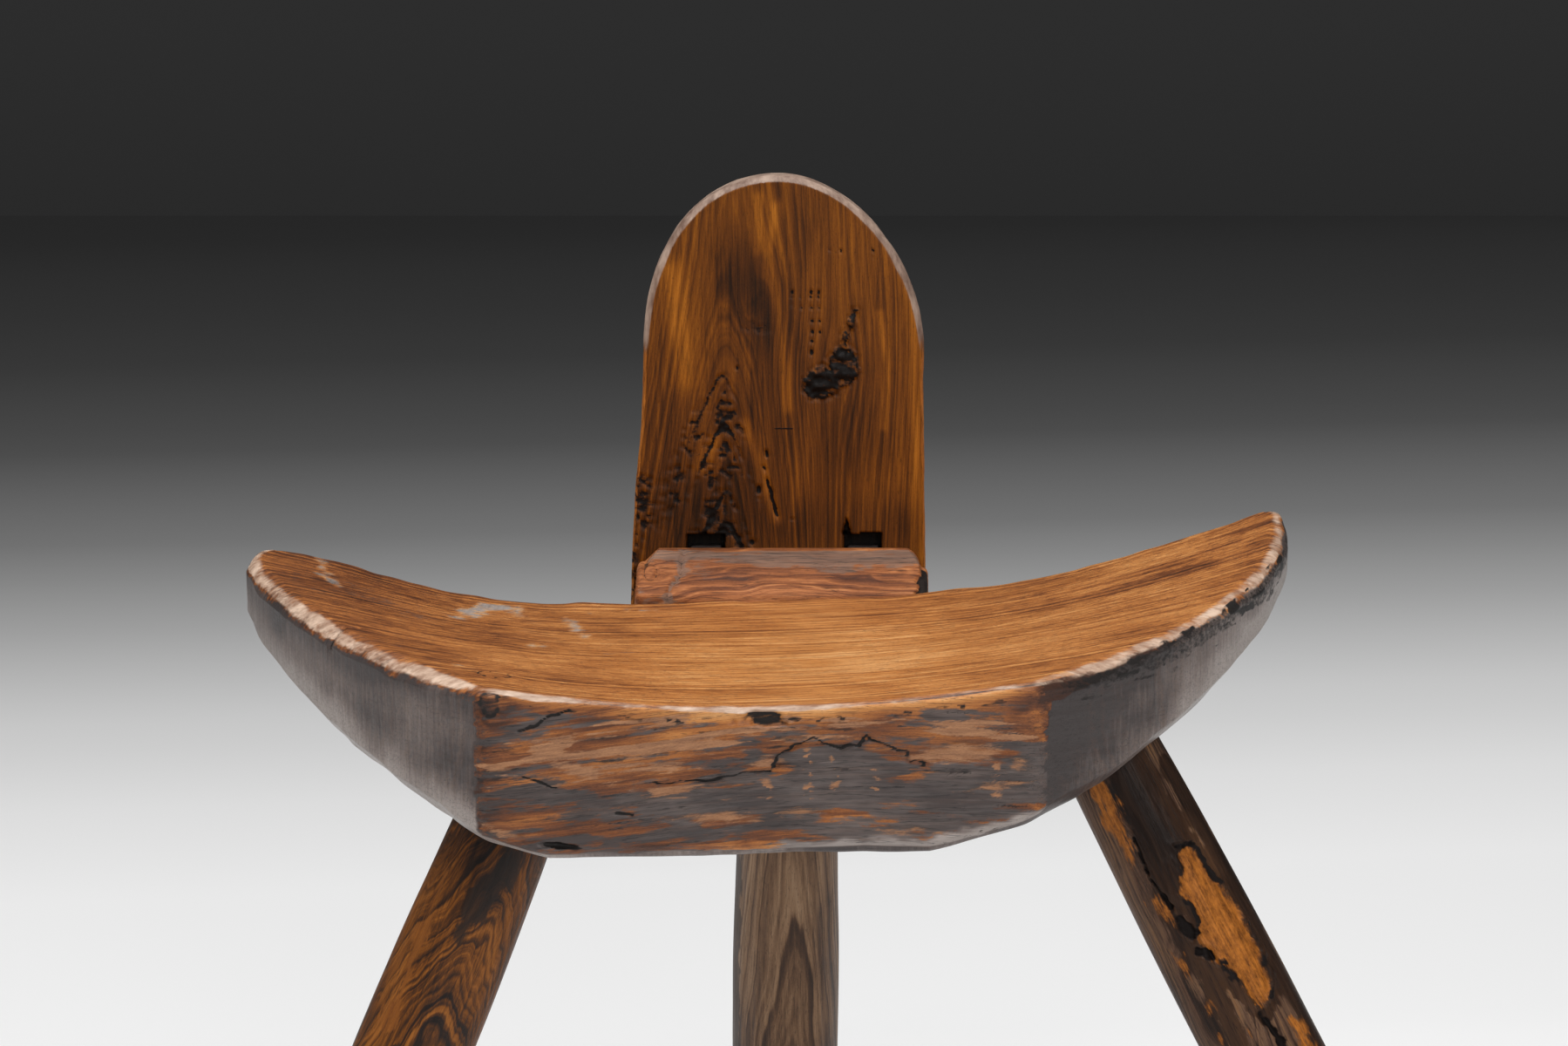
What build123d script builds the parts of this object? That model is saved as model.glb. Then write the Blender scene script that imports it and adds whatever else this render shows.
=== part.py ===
from build123d import *
import os
from math import cos, radians, sin, tan

# Three-legged rustic chair.  A half-moon seat is hewn from one log and hollowed into a saddle.
# A block is pegged to the straight rear face of the seat.  Its two tenons pass through the
# backrest board and are locked by wedges driven in from behind.  The three splayed legs end in
# round tenons, each spread in its blind socket by a fox wedge.
#
# Millimetres.  While modelling, X = 0 is the middle of the backrest, Y = 0 the front facet of
# the seat and Z = 0 the floor.  "Left" and "right" are as seen from the front.  At the end
# everything is moved so that the origin is the middle of the footprint, on the floor.

# ---- Seat: outline from above -----------------------------------------------------------------
seat_depth = 250.0           # front facet to the straight rear face
left_reach = 265.0           # backrest centre line to the left tip
right_reach = 247.0          # backrest centre line to the right tip
front_facet_left = 137.0     # flat front facet, measured each way from the centre line
front_facet_right = 113.0
left_side_run = 0.571        # the curved sides pass through this share of their width
left_side_climb = 0.406      # and this share of their depth
right_side_run = 0.614
right_side_climb = 0.352
left_tip_flat = 38.0         # straight stretch of each tip, in front of the rear face
right_tip_flat = 40.0
left_tip_radius = 24.0       # rounded rear corner of each tip
right_tip_radius = 12.0

# ---- Seat: the saddle hollow --------------------------------------------------------------------
seat_height = 380.0          # floor to the lowest point of the front rim
saddle_fall = 8.0            # the hollow drops this much from front to back
saddle_low_x = -38.0         # where the hollow is lowest
saddle_left_share = 0.566    # further stations of the hollow, as shares of the reach on their side
saddle_shoulder_share = 0.857
saddle_right_share = 0.425
front_left_rise = 11.0       # front end of the hollow, above its lowest point
front_shoulder_rise = 21.0
front_right_rise = 10.5
front_left_tip_rise = 25.0
front_right_tip_rise = 37.0
rear_left_rise = 1.8         # rear end of the hollow, above its lowest point
rear_shoulder_rise = 22.0
rear_right_rise = 8.5
rear_left_tip_rise = 31.8
rear_right_tip_rise = 52.0

# ---- Seat: the underside ----------------------------------------------------------------------
log_margin = 6.0             # the log was this much larger all round before it was sawn out
seat_thickness = 72.0        # at the lowest point of the front rim
under_flat_left = 107.0      # flat middle of the underside, each way from the centre line
under_flat_right = 66.0
under_flat_rise = 4.5        # how much higher its right end is
left_tip_thickness = 28.5
right_tip_thickness = 20.0
left_under_run = 0.615       # the upswept ends pass through this share of their run
left_under_climb = 0.525     # and this share of their climb
right_under_run = 0.58
right_under_climb = 0.416

rim_bevel_front = 2.5        # worn bevel along the front rim
rim_bevel_side = 3.5         # and round the sides, tips and rear
foot_cut_front = 3.5         # depth of the adze cuts that take off the lower edge
foot_cut_side = 4.0
facet_length = 70.0          # length of one adze cut

# ---- Back block -----------------------------------------------------------------------------
block_width = 154.0
block_offset = -1.0          # its middle, measured from the centre line
block_depth = 34.0           # at its top
block_rise = 21.5            # top above the lowest point of the rear rim
block_drop = 46.0            # bottom below the lowest point of the rear rim
block_flank_taper = 4.0      # each flank leans in by this much
block_left_cut = 8.0         # cut-off upper left corner
block_right_round = 11.0     # rounded upper right corner
block_face_rise = 3.0        # upright part of the front face, above the rear rim
block_slope_run = 22.0       # the face then slopes back this far
block_slope_drop = 3.5       # to this far below the top
block_edge_round = 4.0

# ---- Backrest board ---------------------------------------------------------------------------
back_lean = 4.0              # degrees from upright
board_thickness = 24.0
board_height = 187.3         # top of the block to the crown of the arch, along the board
board_foot = 67.0            # how far the board reaches below the top of the block
board_left = 71.5            # half widths where the arch springs
board_right = 70.5
board_foot_left = 78.5       # and at the foot
board_foot_right = 71.8
flare_height = 41.0          # where the sides swing out to the foot, above the top of the block
arch_rise = 88.0
arch_crown_x = -3.0
left_arch_fullness = 0.60    # 0.55 would be a quarter of an ellipse
right_arch_fullness = 0.51
board_bevel = 3.0

# ---- Tenons and wedges of the back -----------------------------------------------------------------
tenon_spacing = 79.5
tenon_width = 16.0
tenon_height = 22.0
tenon_root = 6.0             # the tenon is rooted this deep in the block's sloping back
tenon_proud = 9.0            # sticks out behind the board
tenon_bevel = 1.5
mortise_side_gap = 2.0
wedge_room = 6.0             # height left free above the tenon, at the board's front face
wedge_taper = 0.12           # the free height grows by this much per millimetre towards the back
back_wedge_recess = 9.0      # the wedge stops this far behind the board's front face
back_wedge_proud = 13.0

# ---- Pegs that hold the block ------------------------------------------------------------------------
peg_diameter = 12.0
peg_spacing = 92.0
peg_below_top = 50.0
peg_in_seat = 42.0
peg_end_bevel = 1.0

# ---- Legs ---------------------------------------------------------------------------------------
front_left_leg_x = -129.2    # where each axis crosses the level of the lowest part of the underside
front_left_leg_y = 76.3
front_left_x_lean = -22.8    # degrees that the foot leans towards +X
front_left_y_lean = -11.3    # degrees towards +Y
front_right_leg_x = 168.6
front_right_leg_y = 72.8
front_right_x_lean = 27.8    # degrees
front_right_y_lean = -11.3   # degrees
rear_leg_x = 2.0
rear_leg_y = 187.4
rear_x_lean = -0.6           # degrees
rear_y_lean = 21.8           # degrees
leg_top_diameter = 48.0
leg_belly_diameter = 55.0
leg_foot_diameter = 47.0
leg_belly_share = 0.45       # the belly is this share of the way down
leg_sole_bevel = 2.5
leg_tenon_diameter = 34.0
leg_tenon_end_diameter = 32.0
leg_tenon_length = 38.0
leg_tenon_bevel = 1.5
socket_end_gap = 1.5
kerf_width = 2.4
kerf_depth = 26.0
fox_wedge_length = 22.0
fox_wedge_thick = 2.2
fox_wedge_thin = 0.8

fit_gap = 0.15               # clearance all round between a tenon or peg and its hole
overrun = 10.0               # cutting solids run this far past what they cut

# ---- Levels that the rest is worked out from -----------------------------------------------------------
under_z = seat_height - seat_thickness
rear_low_z = seat_height - saddle_fall
block_top_z = rear_low_z + block_rise
block_bottom_z = rear_low_z - block_drop
board_face_y = seat_depth + block_depth
back_slope = tan(radians(back_lean))

# Frame of the backrest: origin on the board's front face, level with the top of the block,
# local Z up along the board and local Y through its thickness.
back_frame = Plane(
    origin=(0, board_face_y, block_top_z),
    x_dir=(1, 0, 0),
    z_dir=(0, sin(radians(back_lean)), cos(radians(back_lean))),
)


# ---- Seat -------------------------------------------------------------------------------------
def bowed(start, end, run, climb):
    """Arc from start to end, through a point at the given shares of its run and climb."""
    middle = (start[0] + run * (end[0] - start[0]), start[1] + climb * (end[1] - start[1]))
    return ThreePointArc(start, middle, end)


def seat_plan():
    """Half-moon outline: front facet, a curved side to each tip, and the straight rear."""
    left_front = (-front_facet_left, 0)
    right_front = (front_facet_right, 0)
    left_tip = (-left_reach, seat_depth - left_tip_flat)
    right_tip = (right_reach, seat_depth - right_tip_flat)
    left_rear = (-left_reach, seat_depth)
    right_rear = (right_reach, seat_depth)
    plan = make_face(
        [
            Line(left_front, right_front),
            bowed(right_front, right_tip, right_side_run, right_side_climb),
            Polyline(right_tip, right_rear, left_rear, left_tip),
            bowed(left_front, left_tip, left_side_run, left_side_climb),
        ]
    )
    plan = fillet(plan.vertices().sort_by_distance(left_rear)[0], left_tip_radius)
    return fillet(plan.vertices().sort_by_distance(right_rear)[0], right_tip_radius)


def log_section(y, low_z, left_tip_rise, shoulder_rise, left_rise, right_rise, right_tip_rise):
    """Section of the log at depth y: the saddle above, the flat and upswept underside below."""
    left_x = -left_reach - log_margin
    right_x = right_reach + log_margin
    left_top = (left_x, low_z + left_tip_rise)
    right_top = (right_x, low_z + right_tip_rise)
    left_under = (left_x, rear_low_z + rear_left_tip_rise - left_tip_thickness)
    right_under = (right_x, rear_low_z + rear_right_tip_rise - right_tip_thickness)
    left_flat = (-under_flat_left, under_z)
    right_flat = (under_flat_right, under_z + under_flat_rise)
    saddle = Spline(
        left_top,
        (-saddle_shoulder_share * left_reach, low_z + shoulder_rise),
        (-saddle_left_share * left_reach, low_z + left_rise),
        (saddle_low_x, low_z),
        (saddle_right_share * right_reach, low_z + right_rise),
        right_top,
    )
    section = make_face(
        [
            saddle,
            Line(right_top, right_under),
            bowed(right_flat, right_under, right_under_run, right_under_climb),
            Line(right_flat, left_flat),
            bowed(left_flat, left_under, left_under_run, left_under_climb),
            Line(left_under, left_top),
        ]
    )
    return Plane.XZ.offset(-y) * section


def seat_blank():
    """The hollowed log, sawn to the half-moon outline and bevelled, before anything is bored."""
    front = log_section(
        -log_margin,
        seat_height,
        front_left_tip_rise,
        front_shoulder_rise,
        front_left_rise,
        front_right_rise,
        front_right_tip_rise,
    )
    rear = log_section(
        seat_depth + log_margin,
        rear_low_z,
        rear_left_tip_rise,
        rear_shoulder_rise,
        rear_left_rise,
        rear_right_rise,
        rear_right_tip_rise,
    )
    log = loft([front, rear], ruled=True)
    return log & extrude(seat_plan(), amount=2 * seat_height)


def in_front_facet(edge):
    """True for an edge that lies in the front facet."""
    return abs((edge @ 0).Y) < 0.01 and abs((edge @ 1).Y) < 0.01


def saddle_edges(blank):
    """The rim: the edges of the hollowed top."""
    return blank.faces().sort_by(lambda face: face.normal_at().Z * face.area)[-1].edges()


def bevel_rim(blank):
    """Worn bevel: one width round the sides, tips and rear, and a narrower one in front."""
    blank = chamfer(saddle_edges(blank).filter_by(lambda edge: not in_front_facet(edge)), rim_bevel_side)
    return chamfer(saddle_edges(blank).filter_by(in_front_facet), rim_bevel_front)


def hew_foot(blank):
    """Adze cuts round the lower edge: flat facets, each along a stretch of the edge."""
    under = blank.faces().filter_by(lambda face: face.normal_at().Z < -0.3)
    foot = [edge for face in under for edge in face.edges()]
    foot = [edge for edge in foot if sum(edge.is_same(other) for other in foot) == 1]
    foot = [edge for edge in foot if edge.center().Y < seat_depth - left_tip_radius]
    middle = blank.center()
    for edge in foot:
        cuts = max(1, round(edge.length / facet_length))
        depth = foot_cut_front if in_front_facet(edge) else foot_cut_side
        for number in range(cuts):
            share = (number + 0.5) / cuts
            point = edge @ share
            tangent = edge % share
            outward = tangent.cross(Vector(0, 0, 1)).normalized()
            if outward.dot(point - middle) < 0:
                outward = outward * -1
            down = tangent.cross(outward).normalized()
            if down.Z > 0:
                down = down * -1
            facing = (outward + down).normalized()
            blank = split(blank, Plane(origin=point - facing * depth, z_dir=facing), keep=Keep.BOTTOM)
    return blank


# ---- Legs ---------------------------------------------------------------------------------------
def leg_frame(blank, x, y, lean_x, lean_y):
    """Frame of a leg: origin where its axis enters the underside, local Z up into the seat."""
    up = Vector(-tan(radians(lean_x)), -tan(radians(lean_y)), 1)
    start = Vector(x, y, under_z) - up * under_z
    entry, _ = blank.find_intersection_points(Axis(start, up))[0]
    return Plane(origin=entry, x_dir=(1, 0, 0), z_dir=up)


def turned(*outline):
    """Solid of revolution about local Z from (radius, height) points of its outline."""
    (_, first_height), (_, last_height) = outline[0], outline[-1]
    points = [(0, first_height), *outline, (0, last_height)]
    return revolve(Plane.XZ * make_face(Polyline(*points, close=True)), Axis.Z)


def tenon_shape(gap, extra_length):
    """Tapered round tenon, larger by the gap all round and longer by the extra length."""
    root = leg_tenon_diameter / 2 + gap
    end = leg_tenon_end_diameter / 2 + gap
    length = leg_tenon_length + extra_length
    return turned(
        (root, -overrun), (root, 0), (end, length - leg_tenon_bevel), (end - leg_tenon_bevel, length)
    )


def leg_body(frame):
    """Round leg with a belly, from inside the seat to below the floor."""
    fall = frame.origin.Z / frame.z_dir.Z
    top = leg_tenon_length / 2
    foot = -fall - leg_foot_diameter
    belly = -fall * leg_belly_share
    side = ThreePointArc(
        (leg_top_diameter / 2, 0), (leg_belly_diameter / 2, belly), (leg_foot_diameter / 2, -fall)
    )
    axis_side = Polyline(
        (leg_foot_diameter / 2, -fall),
        (leg_foot_diameter / 2, foot),
        (0, foot),
        (0, top),
        (leg_top_diameter / 2, top),
        (leg_top_diameter / 2, 0),
    )
    return revolve(Plane.XZ * make_face([side, axis_side]), Axis.Z)


def make_leg(frame, blank):
    """Leg scribed to the underside, its tenon sawn for the wedge, its sole cut flat."""
    body = frame.location * leg_body(frame) - blank
    body = split(body, Plane.XY, keep=Keep.TOP)
    body = body.solids().sort_by(Axis.Z)[0]
    body = chamfer(body.faces().sort_by(Axis.Z)[0].edges(), leg_sole_bevel)
    kerf = Pos(0, 0, leg_tenon_length + overrun / 2) * Box(
        kerf_width, leg_tenon_diameter, 2 * kerf_depth + overrun
    )
    return body + frame.location * (tenon_shape(0, 0) - kerf)


def make_fox_wedge(frame):
    """Thin wedge in the kerf, its thick end against the bottom of the socket."""
    thick = fox_wedge_thick / 2
    thin = fox_wedge_thin / 2
    top = leg_tenon_length
    bottom = top - fox_wedge_length
    profile = make_face(Polyline((-thin, bottom), (thin, bottom), (thick, top), (-thick, top), close=True))
    width = leg_tenon_end_diameter - 2 * leg_tenon_bevel
    return frame.location * extrude(Plane.XZ * profile, amount=width / 2, both=True)


# ---- Back block -----------------------------------------------------------------------------
def back_y(z):
    """Depth of the board's front face at height z."""
    return board_face_y + (z - block_top_z) * back_slope


def block_side():
    """Side view of the block: upright foot, sloping face, back leaning with the board."""
    shoulder = (seat_depth + block_slope_run, block_top_z - block_slope_drop)
    view = make_face(
        Polyline(
            (seat_depth, block_bottom_z),
            (seat_depth, rear_low_z + block_face_rise),
            shoulder,
            (board_face_y, block_top_z),
            (back_y(block_bottom_z), block_bottom_z),
            close=True,
        )
    )
    return fillet(view.vertices().sort_by_distance(shoulder)[0], block_edge_round)


def block_front():
    """Front view of the block: flanks leaning in, one corner cut off, the other rounded."""
    left = block_offset - block_width / 2
    right = block_offset + block_width / 2
    top_left = (left + block_flank_taper, block_top_z)
    top_right = (right - block_flank_taper, block_top_z)
    view = make_face(
        Polyline((left, block_bottom_z), (right, block_bottom_z), top_right, top_left, close=True)
    )
    view = chamfer(view.vertices().sort_by_distance(top_left)[0], block_left_cut)
    return fillet(view.vertices().sort_by_distance(top_right)[0], block_right_round)


def tenon_centres():
    """Places of the two tenons along the block."""
    return (-tenon_spacing / 2, tenon_spacing / 2)


def make_block():
    """Block with its two tenons, bored for the pegs."""
    side = extrude(Plane.YZ * block_side(), amount=block_width, both=True)
    front = extrude(Plane.XZ.offset(-seat_depth - 2 * block_depth) * block_front(), amount=3 * block_depth)
    block = side & front
    length = tenon_root + board_thickness + tenon_proud
    tenon = Box(
        tenon_width, length, tenon_height, align=(Align.CENTER, Align.MIN, Align.MAX)
    )
    tenon = chamfer(tenon.faces().sort_by(Axis.Y)[-1].edges(), tenon_bevel)
    for x in tenon_centres():
        block += back_frame.location * (Pos(x, -tenon_root, 0) * tenon)
    return block - peg_holes()


# ---- Backrest board ---------------------------------------------------------------------------
def arch_quarter(spring, crown, fullness):
    """Quarter of the arch, upright at the spring and level at the crown."""
    rise = crown[1] - spring[1]
    reach = crown[0] - spring[0]
    return Bezier(
        spring,
        (spring[0], spring[1] + fullness * rise),
        (crown[0] - fullness * reach, crown[1]),
        crown,
    )


def board_side(foot, spring):
    """Side of the board: upright at the foot, swinging in to the spring of the arch."""
    return Bezier(foot, (foot[0], flare_height), (spring[0], flare_height), spring)


def mortise():
    """Mortise for one tenon, with the sloping room for its wedge above."""
    front = -overrun
    rear = board_thickness + overrun
    bottom = -tenon_height - fit_gap
    outline = Polyline(
        (front, bottom),
        (rear, bottom),
        (rear, wedge_room + wedge_taper * rear),
        (front, wedge_room + wedge_taper * front),
        close=True,
    )
    half_width = tenon_width / 2 + mortise_side_gap
    return extrude(Plane.YZ * make_face(outline), amount=half_width, both=True)


def make_board():
    """Arched board, bevelled all round, with its two mortises."""
    spring_z = board_height - arch_rise
    crown = (arch_crown_x, board_height)
    left_foot = (-board_foot_left, -board_foot)
    right_foot = (board_foot_right, -board_foot)
    left_spring = (-board_left, spring_z)
    right_spring = (board_right, spring_z)
    outline = make_face(
        [
            Line(left_foot, right_foot),
            board_side(right_foot, right_spring),
            arch_quarter(right_spring, crown, right_arch_fullness),
            arch_quarter(left_spring, crown, left_arch_fullness),
            board_side(left_foot, left_spring),
        ]
    )
    board = extrude(Plane.XZ * outline, amount=-board_thickness)
    faces = board.faces().sort_by(Axis.Y)
    board = chamfer(faces[0].edges() + faces[-1].edges(), board_bevel)
    for x in tenon_centres():
        board -= Pos(x, 0, 0) * mortise()
    return back_frame.location * board


def make_back_wedge(x):
    """Wedge driven in from behind, between the top of a tenon and the mortise."""
    front = back_wedge_recess
    rear = board_thickness + back_wedge_proud
    outline = Polyline(
        (front, 0),
        (rear, 0),
        (rear, wedge_room + wedge_taper * rear),
        (front, wedge_room + wedge_taper * front),
        close=True,
    )
    wedge = extrude(Plane.YZ * make_face(outline), amount=tenon_width / 2, both=True)
    return back_frame.location * (Pos(x, 0, 0) * wedge)


# ---- Pegs ---------------------------------------------------------------------------------------
def peg_centres():
    """Places of the two pegs along the block."""
    return (-peg_spacing / 2, peg_spacing / 2)


def lying_cylinder(x, radius, front, rear):
    """Cylinder from front to rear at the pegs' height."""
    frame = Plane(origin=(x, front, block_top_z - peg_below_top), x_dir=(1, 0, 0), z_dir=(0, 1, 0))
    return frame.location * Cylinder(radius, rear - front, align=(Align.CENTER, Align.CENTER, Align.MIN))


def peg_rear():
    """Pegs are cut off just short of the board."""
    return back_y(block_top_z - peg_below_top - peg_diameter / 2) - fit_gap


def peg_holes():
    """Holes for both pegs, through the block and into the seat."""
    radius = peg_diameter / 2 + fit_gap
    front = seat_depth - peg_in_seat - socket_end_gap
    return [lying_cylinder(x, radius, front, board_face_y + overrun) for x in peg_centres()]


def make_peg(x):
    """Round peg, bevelled at both ends."""
    peg = lying_cylinder(x, peg_diameter / 2, seat_depth - peg_in_seat, peg_rear())
    return chamfer(peg.edges().filter_by(GeomType.CIRCLE), peg_end_bevel)


# ---- Assembly -------------------------------------------------------------------------------------
blank = hew_foot(bevel_rim(seat_blank()))
frames = {
    "front_left_leg": leg_frame(
        blank, front_left_leg_x, front_left_leg_y, front_left_x_lean, front_left_y_lean
    ),
    "front_right_leg": leg_frame(
        blank, front_right_leg_x, front_right_leg_y, front_right_x_lean, front_right_y_lean
    ),
    "rear_leg": leg_frame(blank, rear_leg_x, rear_leg_y, rear_x_lean, rear_y_lean),
}
sockets = [frame.location * tenon_shape(fit_gap, socket_end_gap) for frame in frames.values()]

parts = {
    "seat": blank - sockets - peg_holes(),
    "back_block": make_block(),
    "backrest_board": make_board(),
}
for side, tenon_x, peg_x in zip(("left", "right"), tenon_centres(), peg_centres()):
    parts[f"board_wedge_{side}"] = make_back_wedge(tenon_x)
    parts[f"block_peg_{side}"] = make_peg(peg_x)
for name, frame in frames.items():
    parts[name] = make_leg(frame, blank)
    parts[f"{name}_wedge"] = make_fox_wedge(frame)

footprint = Compound([solid for part in parts.values() for solid in part.solids()]).bounding_box()
to_origin = Pos(-footprint.center().X, -footprint.center().Y, -footprint.min.Z)

os.makedirs("parts", exist_ok=True)
for name, part in parts.items():
    export_step(to_origin * part, f"parts/{name}.step")
print("size", footprint.size, "origin moved by", to_origin.position)
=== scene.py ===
# %% [markdown]
# # A three-legged chair hewn from a log
#
# The chair has a half-moon seat hollowed into a saddle, a block behind it, an arched backrest
# board on the block, and three round legs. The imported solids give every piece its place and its
# size. This lesson gives each piece its skin: a surface worked out with numpy, which carries the
# hewing marks, the knots and the wear, and a wood finish made of shader nodes.

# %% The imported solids
import itertools

import bmesh
import bpy
import numpy as np
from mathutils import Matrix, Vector


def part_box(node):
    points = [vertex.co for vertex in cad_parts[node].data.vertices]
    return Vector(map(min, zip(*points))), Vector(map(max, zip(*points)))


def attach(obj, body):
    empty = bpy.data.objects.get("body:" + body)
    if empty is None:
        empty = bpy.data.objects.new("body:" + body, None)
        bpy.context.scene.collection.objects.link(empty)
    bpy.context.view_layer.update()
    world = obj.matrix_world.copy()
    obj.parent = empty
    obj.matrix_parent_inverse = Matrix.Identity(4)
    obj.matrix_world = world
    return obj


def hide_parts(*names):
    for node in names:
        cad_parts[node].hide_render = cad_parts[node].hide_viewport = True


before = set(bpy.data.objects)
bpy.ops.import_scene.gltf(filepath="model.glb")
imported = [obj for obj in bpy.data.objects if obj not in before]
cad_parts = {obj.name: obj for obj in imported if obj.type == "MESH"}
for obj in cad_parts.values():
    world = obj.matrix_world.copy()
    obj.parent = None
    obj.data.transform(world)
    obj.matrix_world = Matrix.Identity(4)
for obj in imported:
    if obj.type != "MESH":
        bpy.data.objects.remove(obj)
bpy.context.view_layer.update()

# %% [markdown]
# ## One set of coordinates for the whole chair
#
# A chair maker measures from the middle of the backrest and from the front of the seat. The
# functions below do the same, in millimetres: x to the right, y to the back, z up from the
# floor. The seat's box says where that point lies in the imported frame, so nothing has to be
# fitted by eye. Blender works in metres, and `place` takes the one to the other.

# %% Millimetres of the chair to metres of the scene
seat_low, seat_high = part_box("seat")
left_reach = 265.0  # from the middle of the backrest to the seat's left tip
chair_origin = np.array([seat_low.x + left_reach / 1000, seat_low.y, 0.0])


def place(points):
    """Metres in the scene: the point in millimetres over 1000, plus the chair's own origin."""
    return np.asarray(points, float) / 1000 + chair_origin


print("chair origin", chair_origin.round(4))

# %% [markdown]
# ## Noise, curves and distances
#
# Hewn wood is never quite flat. Blender has noise in its shaders, but the shape itself needs
# noise too, so here is a small one in numpy: every whole-number place in space gets its own
# repeatable number, and the space between is filled in smoothly. With no random generator it is
# the same on every run.

# %% Noise in numpy
def lattice(cell, seed):
    """A repeatable number from -1 to 1 for each whole-number place, stirred from its x, y and z."""
    stirred = cell[..., 0] * 1619 + cell[..., 1] * 31337 + cell[..., 2] * 6971 + seed * 1013
    stirred = stirred & 0x7FFFFFFF
    stirred = (stirred >> 13) ^ stirred
    stirred = (stirred * (stirred * stirred * 60493 + 19990303) + 1376312589) & 0x7FFFFFFF
    return 1.0 - stirred / 1073741824.0


def ripple(points, size, seed=0):
    """Smooth noise: the numbers of the eight nearest places, weighted by 3f^2 - 2f^3 along each axis."""
    scaled = np.asarray(points, float) / np.asarray(size, float)
    cell = np.floor(scaled).astype(np.int64)
    share = scaled - cell
    share = share * share * (3 - 2 * share)
    total = np.zeros(scaled.shape[:-1])
    for corner in itertools.product((0, 1), repeat=3):
        step = np.array(corner)
        weight = np.prod(np.where(step == 1, share, 1 - share), axis=-1)
        total += weight * lattice(cell + step, seed)
    return total


def one_line(values):
    """Places for noise that changes along one length only."""
    return np.stack([values, 0 * values, 0 * values], -1)


def layered(points, size, seed=0, octaves=3):
    """Noise on noise: each layer is half the size and half the height of the one before."""
    size = np.asarray(size, float)
    return sum(ripple(points, size / 2**k, seed + 17 * k) / 2**k for k in range(octaves))


print("noise at three places", ripple(np.eye(3) * 1.5, 1.0).round(3).tolist())


# %% [markdown]
# ## Soft steps and curves
#
# A mark on wood fades at its edge, so most formulas here use a soft step, which climbs from 0 to
# 1 between two values. The long lines of the chair are arcs through three points and one smooth
# spline, as a maker would draw them with a bent lath. Blender's curve objects draw the same
# lines, but a formula can be asked for its height at any place.

# %% Steps, splines and arcs
def smooth(low, high, value):
    """0 below low, 1 above high, and 3t^2 - 2t^3 between."""
    t = np.clip((np.asarray(value, float) - low) / (high - low), 0, 1)
    return t * t * (3 - 2 * t)


def eased(gap, wear):
    """How far a worn corner draws back at a distance from its end: a quarter circle of the wear."""
    return wear * (1 - np.sqrt(1 - np.clip(1 - gap / wear, 0, 1) ** 2))


def through(knots_x, knots_z, x):
    """Natural cubic spline: its bending at the knots solves the usual three-term equations."""
    kx, kz = np.asarray(knots_x, float), np.asarray(knots_z, float)
    gap = np.diff(kx)
    slope = np.diff(kz) / gap
    count = len(kx)
    matrix = np.eye(count)
    right = np.zeros(count)
    for i in range(1, count - 1):
        matrix[i, i - 1 : i + 2] = gap[i - 1], 2 * (gap[i - 1] + gap[i]), gap[i]
        right[i] = 6 * (slope[i] - slope[i - 1])
    bend = np.linalg.solve(matrix, right)
    i = np.clip(np.searchsorted(kx, x) - 1, 0, count - 2)
    a, b = kx[i + 1] - x, x - kx[i]
    h = gap[i]
    return (
        (bend[i] * a**3 + bend[i + 1] * b**3) / (6 * h)
        + (kz[i] / h - bend[i] * h / 6) * a
        + (kz[i + 1] / h - bend[i + 1] * h / 6) * b
    )


def arc(start, middle, end, count):
    """Points on the circle through three points, at equal angles from the start to the end."""
    a, b, c = (complex(*p) for p in (start, middle, end))
    w = (c - a) / (b - a)
    centre = (b - a) * (w - abs(w) ** 2) / (2j * w.imag) + a
    first, mid, last = (np.angle(p - centre) for p in (a, b, c))
    turn = (last - first) % (2 * np.pi)
    if (mid - first) % (2 * np.pi) > turn:
        turn -= 2 * np.pi
    angles = first + turn * np.linspace(0, 1, count)
    on_circle = centre + abs(a - centre) * np.exp(1j * angles)
    return np.stack([on_circle.real, on_circle.imag], -1)


def bowed(start, end, run, climb, count):
    """Arc through the point at the given shares of its run and climb, as in the part's source."""
    middle = (start[0] + run * (end[0] - start[0]), start[1] + climb * (end[1] - start[1]))
    return arc(start, middle, end, count)


print("a quarter of the way round", arc((1, 0), (0, 1), (-1, 0), 3).round(3).tolist())


# %% [markdown]
# ## Walking along a line, and measuring to one
#
# To carry a ring along a piece, points are wanted at even lengths along a line. To place a crack
# or a knot, the distance from every point of the skin to a broken line or to an oval is wanted.
# These few helpers do both for whole arrays at once, which takes milliseconds where a loop over
# the points would take minutes.

# %% Lengths and distances
def length_along(path):
    """Length from the start of a path to each of its points."""
    steps = np.linalg.norm(np.diff(path, axis=0), axis=-1)
    return np.concatenate([[0.0], np.cumsum(steps)])


def walk(path, stations):
    """Points at the given lengths along a path."""
    along = length_along(path)
    return np.stack([np.interp(stations, along, path[:, k]) for k in range(path.shape[1])], -1)


def rounded(path, reach):
    """A path with its corners worn: each point becomes the mean of those within the reach."""
    along = length_along(path)
    stations = np.linspace(0, along[-1], int(along[-1]) + 1)
    even = walk(path, stations)
    window = np.ones(2 * reach + 1) / (2 * reach + 1)
    padded = np.concatenate([[even[0]] * reach, even, [even[-1]] * reach])
    worn = np.stack([np.convolve(padded[:, k], window, "valid") for k in range(2)], -1)
    ends = np.minimum(stations, along[-1] - stations)[:, None] < 1.5 * reach
    return np.where(ends, even, worn)


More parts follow.
